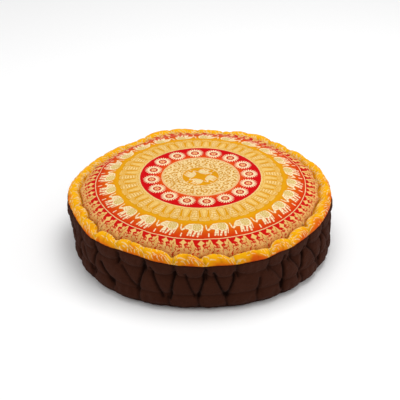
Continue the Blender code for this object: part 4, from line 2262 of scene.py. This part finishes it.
    def material(self) -> bpy.types.Material:
        """Makes the material.

        Returns:
            The printed cotton.
        """
        material, shader = cloth_material("printed_cotton", self.sheen, self.gloss)
        place = vector_work("ADD", cloth_place(material), self.shift)
        across, along, _ = parts(place)
        height, slub = WEAVE.use(across, along, self.pitch)
        colour = self.painted(self.wandering(across, along, place))
        fade = noise(place, 0.012, 3.0) * self.clouds + slub * self.slubs
        fade = fade + noise(place, 0.9, 1.0) * self.grain + self.least_light
        # Painted shade: the print is darkened where the cloth lies deep in a tuck or a stitched line, so fade
        # holds both uneven fading and painted shade
        fade = fade * (1.0 - tuck_depth(material) * self.tuck_shade)
        feed([shader.inputs["Base Color"]], (shaded(colour, fade),))
        creases = noise(place, 0.11, 3.0)
        bumped(shader, ((creases, self.crease_height), (height, self.thread_height)))
        return material

    def wandering(self, across: Value, along: Value, place: Value) -> Value:
        """Moves a place about a little, as the lines of a hand print wander.

        Args:
            across: The place's first part.
            along: Its second part.
            place: The place, in millimetres.

        Returns:
            The moved place.
        """
        first = noise(place, self.wander_scale) * self.wander + (across - self.wander / 2)
        elsewhere = vector_work("ADD", place, self.elsewhere)
        second = noise(elsewhere, self.wander_scale) * self.wander + (along - self.wander / 2)
        return combined(first, second)


class Lay(Enum):
    """How a cloth lies: round the side of the pouf, or flat and round."""

    BAND = "band"
    ROUND = "round"


@dataclass(frozen=True)
class DarkCotton:
    """Plain woven cotton, dark brown and matt."""

    lay: Lay
    dye: Ink = Ink(50, 21, 10)
    worn: Ink = Ink(66, 33, 20)
    # The near-black brown that is mixed in as painted shade deep in the tucks and stitched lines
    painted_crease_shade: Ink = Ink(20, 7, 3)
    pitch: float = 0.6
    sheen: float = 0.02
    gloss: float = 0.05
    clouds: float = 0.5
    slubs: float = 0.4
    grain: float = 0.2
    # How far the painted shade in the tucks goes towards that near-black brown
    tuck_shade: float = 0.85
    crease_height: float = 0.0022
    thread_height: float = 0.00012

    def material(self) -> bpy.types.Material:
        """Makes the material.

        Returns:
            The dark cotton.
        """
        material, shader = cloth_material(f"dark_cotton_{self.lay.value}", self.sheen, self.gloss)
        place = cloth_place(material)
        across, along, down = parts(place)
        if self.lay is Lay.BAND:
            across = work("ARCTAN2", across, along * -1.0) * (MEAN_REACH * MILLIMETRES)
            along = down
        height, slub = WEAVE.use(across, along, self.pitch)
        share = noise(place, 0.02, 3.0) * self.clouds + slub * self.slubs
        share = share + noise(place, 0.8, 1.0) * self.grain
        colour = mixed(share.between(0.25, 0.85), self.dye.linear(), self.worn.linear())
        # Painted shade: the cloth goes towards near-black brown where it lies deep in a tuck or a stitched
        # line
        colour = mixed(tuck_depth(material) * self.tuck_shade, colour, self.painted_crease_shade.linear())
        feed([shader.inputs["Base Color"]], (colour,))
        creases = noise(place, 0.10, 3.0)
        bumped(shader, ((creases, self.crease_height), (height, self.thread_height)))
        return material


class Lamp(NamedTuple):
    """A square soft light: its name, where it hangs, the length of its sides and its power in watts."""

    name: str
    place: tuple[float, float, float]
    size: float
    power: float


LAMPS = (
    Lamp("overhead", (0.3, 0.4, 2.4), 1.6, 33.0),
    Lamp("right_side", (2.2, -0.6, 1.0), 1.0, 13.0),
    Lamp("left_side", (-2.2, -0.6, 1.0), 1.0, 11.0),
)


@dataclass
class Studio:
    """A pale floor, soft light and a camera at the photograph's viewing angle."""

    elevation: float = 29.5
    distance: float = 3.2
    pixels_per_metre: float = 440.0
    image: int = 400
    centre_across: float = 200.7
    centre_down: float = 176.0
    middle: tuple[float, float] = (0.0024, 0.0034)
    sensor: float = 36.0
    floor_size: float = 30.0
    floor_grey: float = 0.96
    floor_roughness: float = 0.9
    floor_gloss: float = 0.1
    sky: float = 0.55

    def floor(self) -> None:
        """Lays the floor."""
        form = bmesh.new()
        bmesh.ops.create_grid(form, x_segments=1, y_segments=1, size=self.floor_size / 2)
        mesh = bpy.data.meshes.new("floor")
        form.to_mesh(mesh)
        form.free()
        finish = bpy.data.materials.new("pale_floor")
        finish.use_nodes = True
        shader = finish.node_tree.nodes["Principled BSDF"]
        shader.inputs["Base Color"].default_value = (*(self.floor_grey,) * 3, 1.0)
        shader.inputs["Roughness"].default_value = self.floor_roughness
        shader.inputs["Specular IOR Level"].default_value = self.floor_gloss
        mesh.materials.append(finish)
        floor = bpy.data.objects.new("floor", mesh)
        bpy.context.scene.collection.objects.link(floor)
        floor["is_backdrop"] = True

    @staticmethod
    def light(lamp: Lamp) -> None:
        """Hangs a light that faces the pouf.

        Args:
            lamp: The light.
        """
        area = bpy.data.lights.new(lamp.name, "AREA")
        area.size = lamp.size
        area.energy = lamp.power
        made = bpy.data.objects.new(lamp.name, area)
        made.location = lamp.place
        aim = Vector((0.0, 0.0, CROWN_HEIGHT / 2)) - Vector(lamp.place)
        made.rotation_euler = aim.to_track_quat("-Z", "Y").to_euler()
        bpy.context.scene.collection.objects.link(made)

    def camera(self) -> None:
        """Puts the camera where it frames the pouf as the photograph does."""
        rise = math.radians(self.elevation)
        focal = self.pixels_per_metre * self.distance
        back, up = math.cos(rise) * self.distance, math.sin(rise) * self.distance
        pitch = rise + math.atan((self.image / 2 - self.centre_down) / focal)
        yaw = math.atan((self.centre_across - self.image / 2) / focal)
        view = bpy.data.cameras.new("camera")
        view.sensor_width = self.sensor
        view.lens = self.sensor * focal / self.image
        made = bpy.data.objects.new("camera", view)
        made.location = (self.middle[0], self.middle[1] - back, CROWN_HEIGHT + up)
        made.rotation_euler = (math.pi / 2 - pitch, 0.0, yaw)
        bpy.context.scene.collection.objects.link(made)
        bpy.context.scene.camera = made

    def build(self) -> None:
        """Sets up the floor, the world, the lights and the camera."""
        scene = bpy.context.scene
        scene.view_settings.view_transform = "Standard"
        world = bpy.data.worlds.new("studio")
        world.use_nodes = True
        background = world.node_tree.nodes["Background"]
        background.inputs["Color"].default_value = (1.0, 1.0, 1.0, 1.0)
        background.inputs["Strength"].default_value = self.sky
        scene.world = world
        self.floor()
        for lamp in LAMPS:
            self.light(lamp)
        self.camera()


def corners() -> list[list[float]]:
    """Gives the shown object's box as plain numbers."""
    bpy.context.view_layer.update()
    return [list(corner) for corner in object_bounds()]


def main() -> None:
    """Builds the studio and the pouf, and works out the shown box before and after."""
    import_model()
    frame_box = corners()
    Studio().build()
    band_finish, base_finish = DarkCotton(Lay.BAND), DarkCotton(Lay.ROUND)
    Cover().build(PrintedCotton().material(), band_finish.material(), base_finish.material())
    {"frame": frame_box, "scene": corners()}


if __name__ == "__main__":
    logging.basicConfig(level=logging.INFO)
    main()
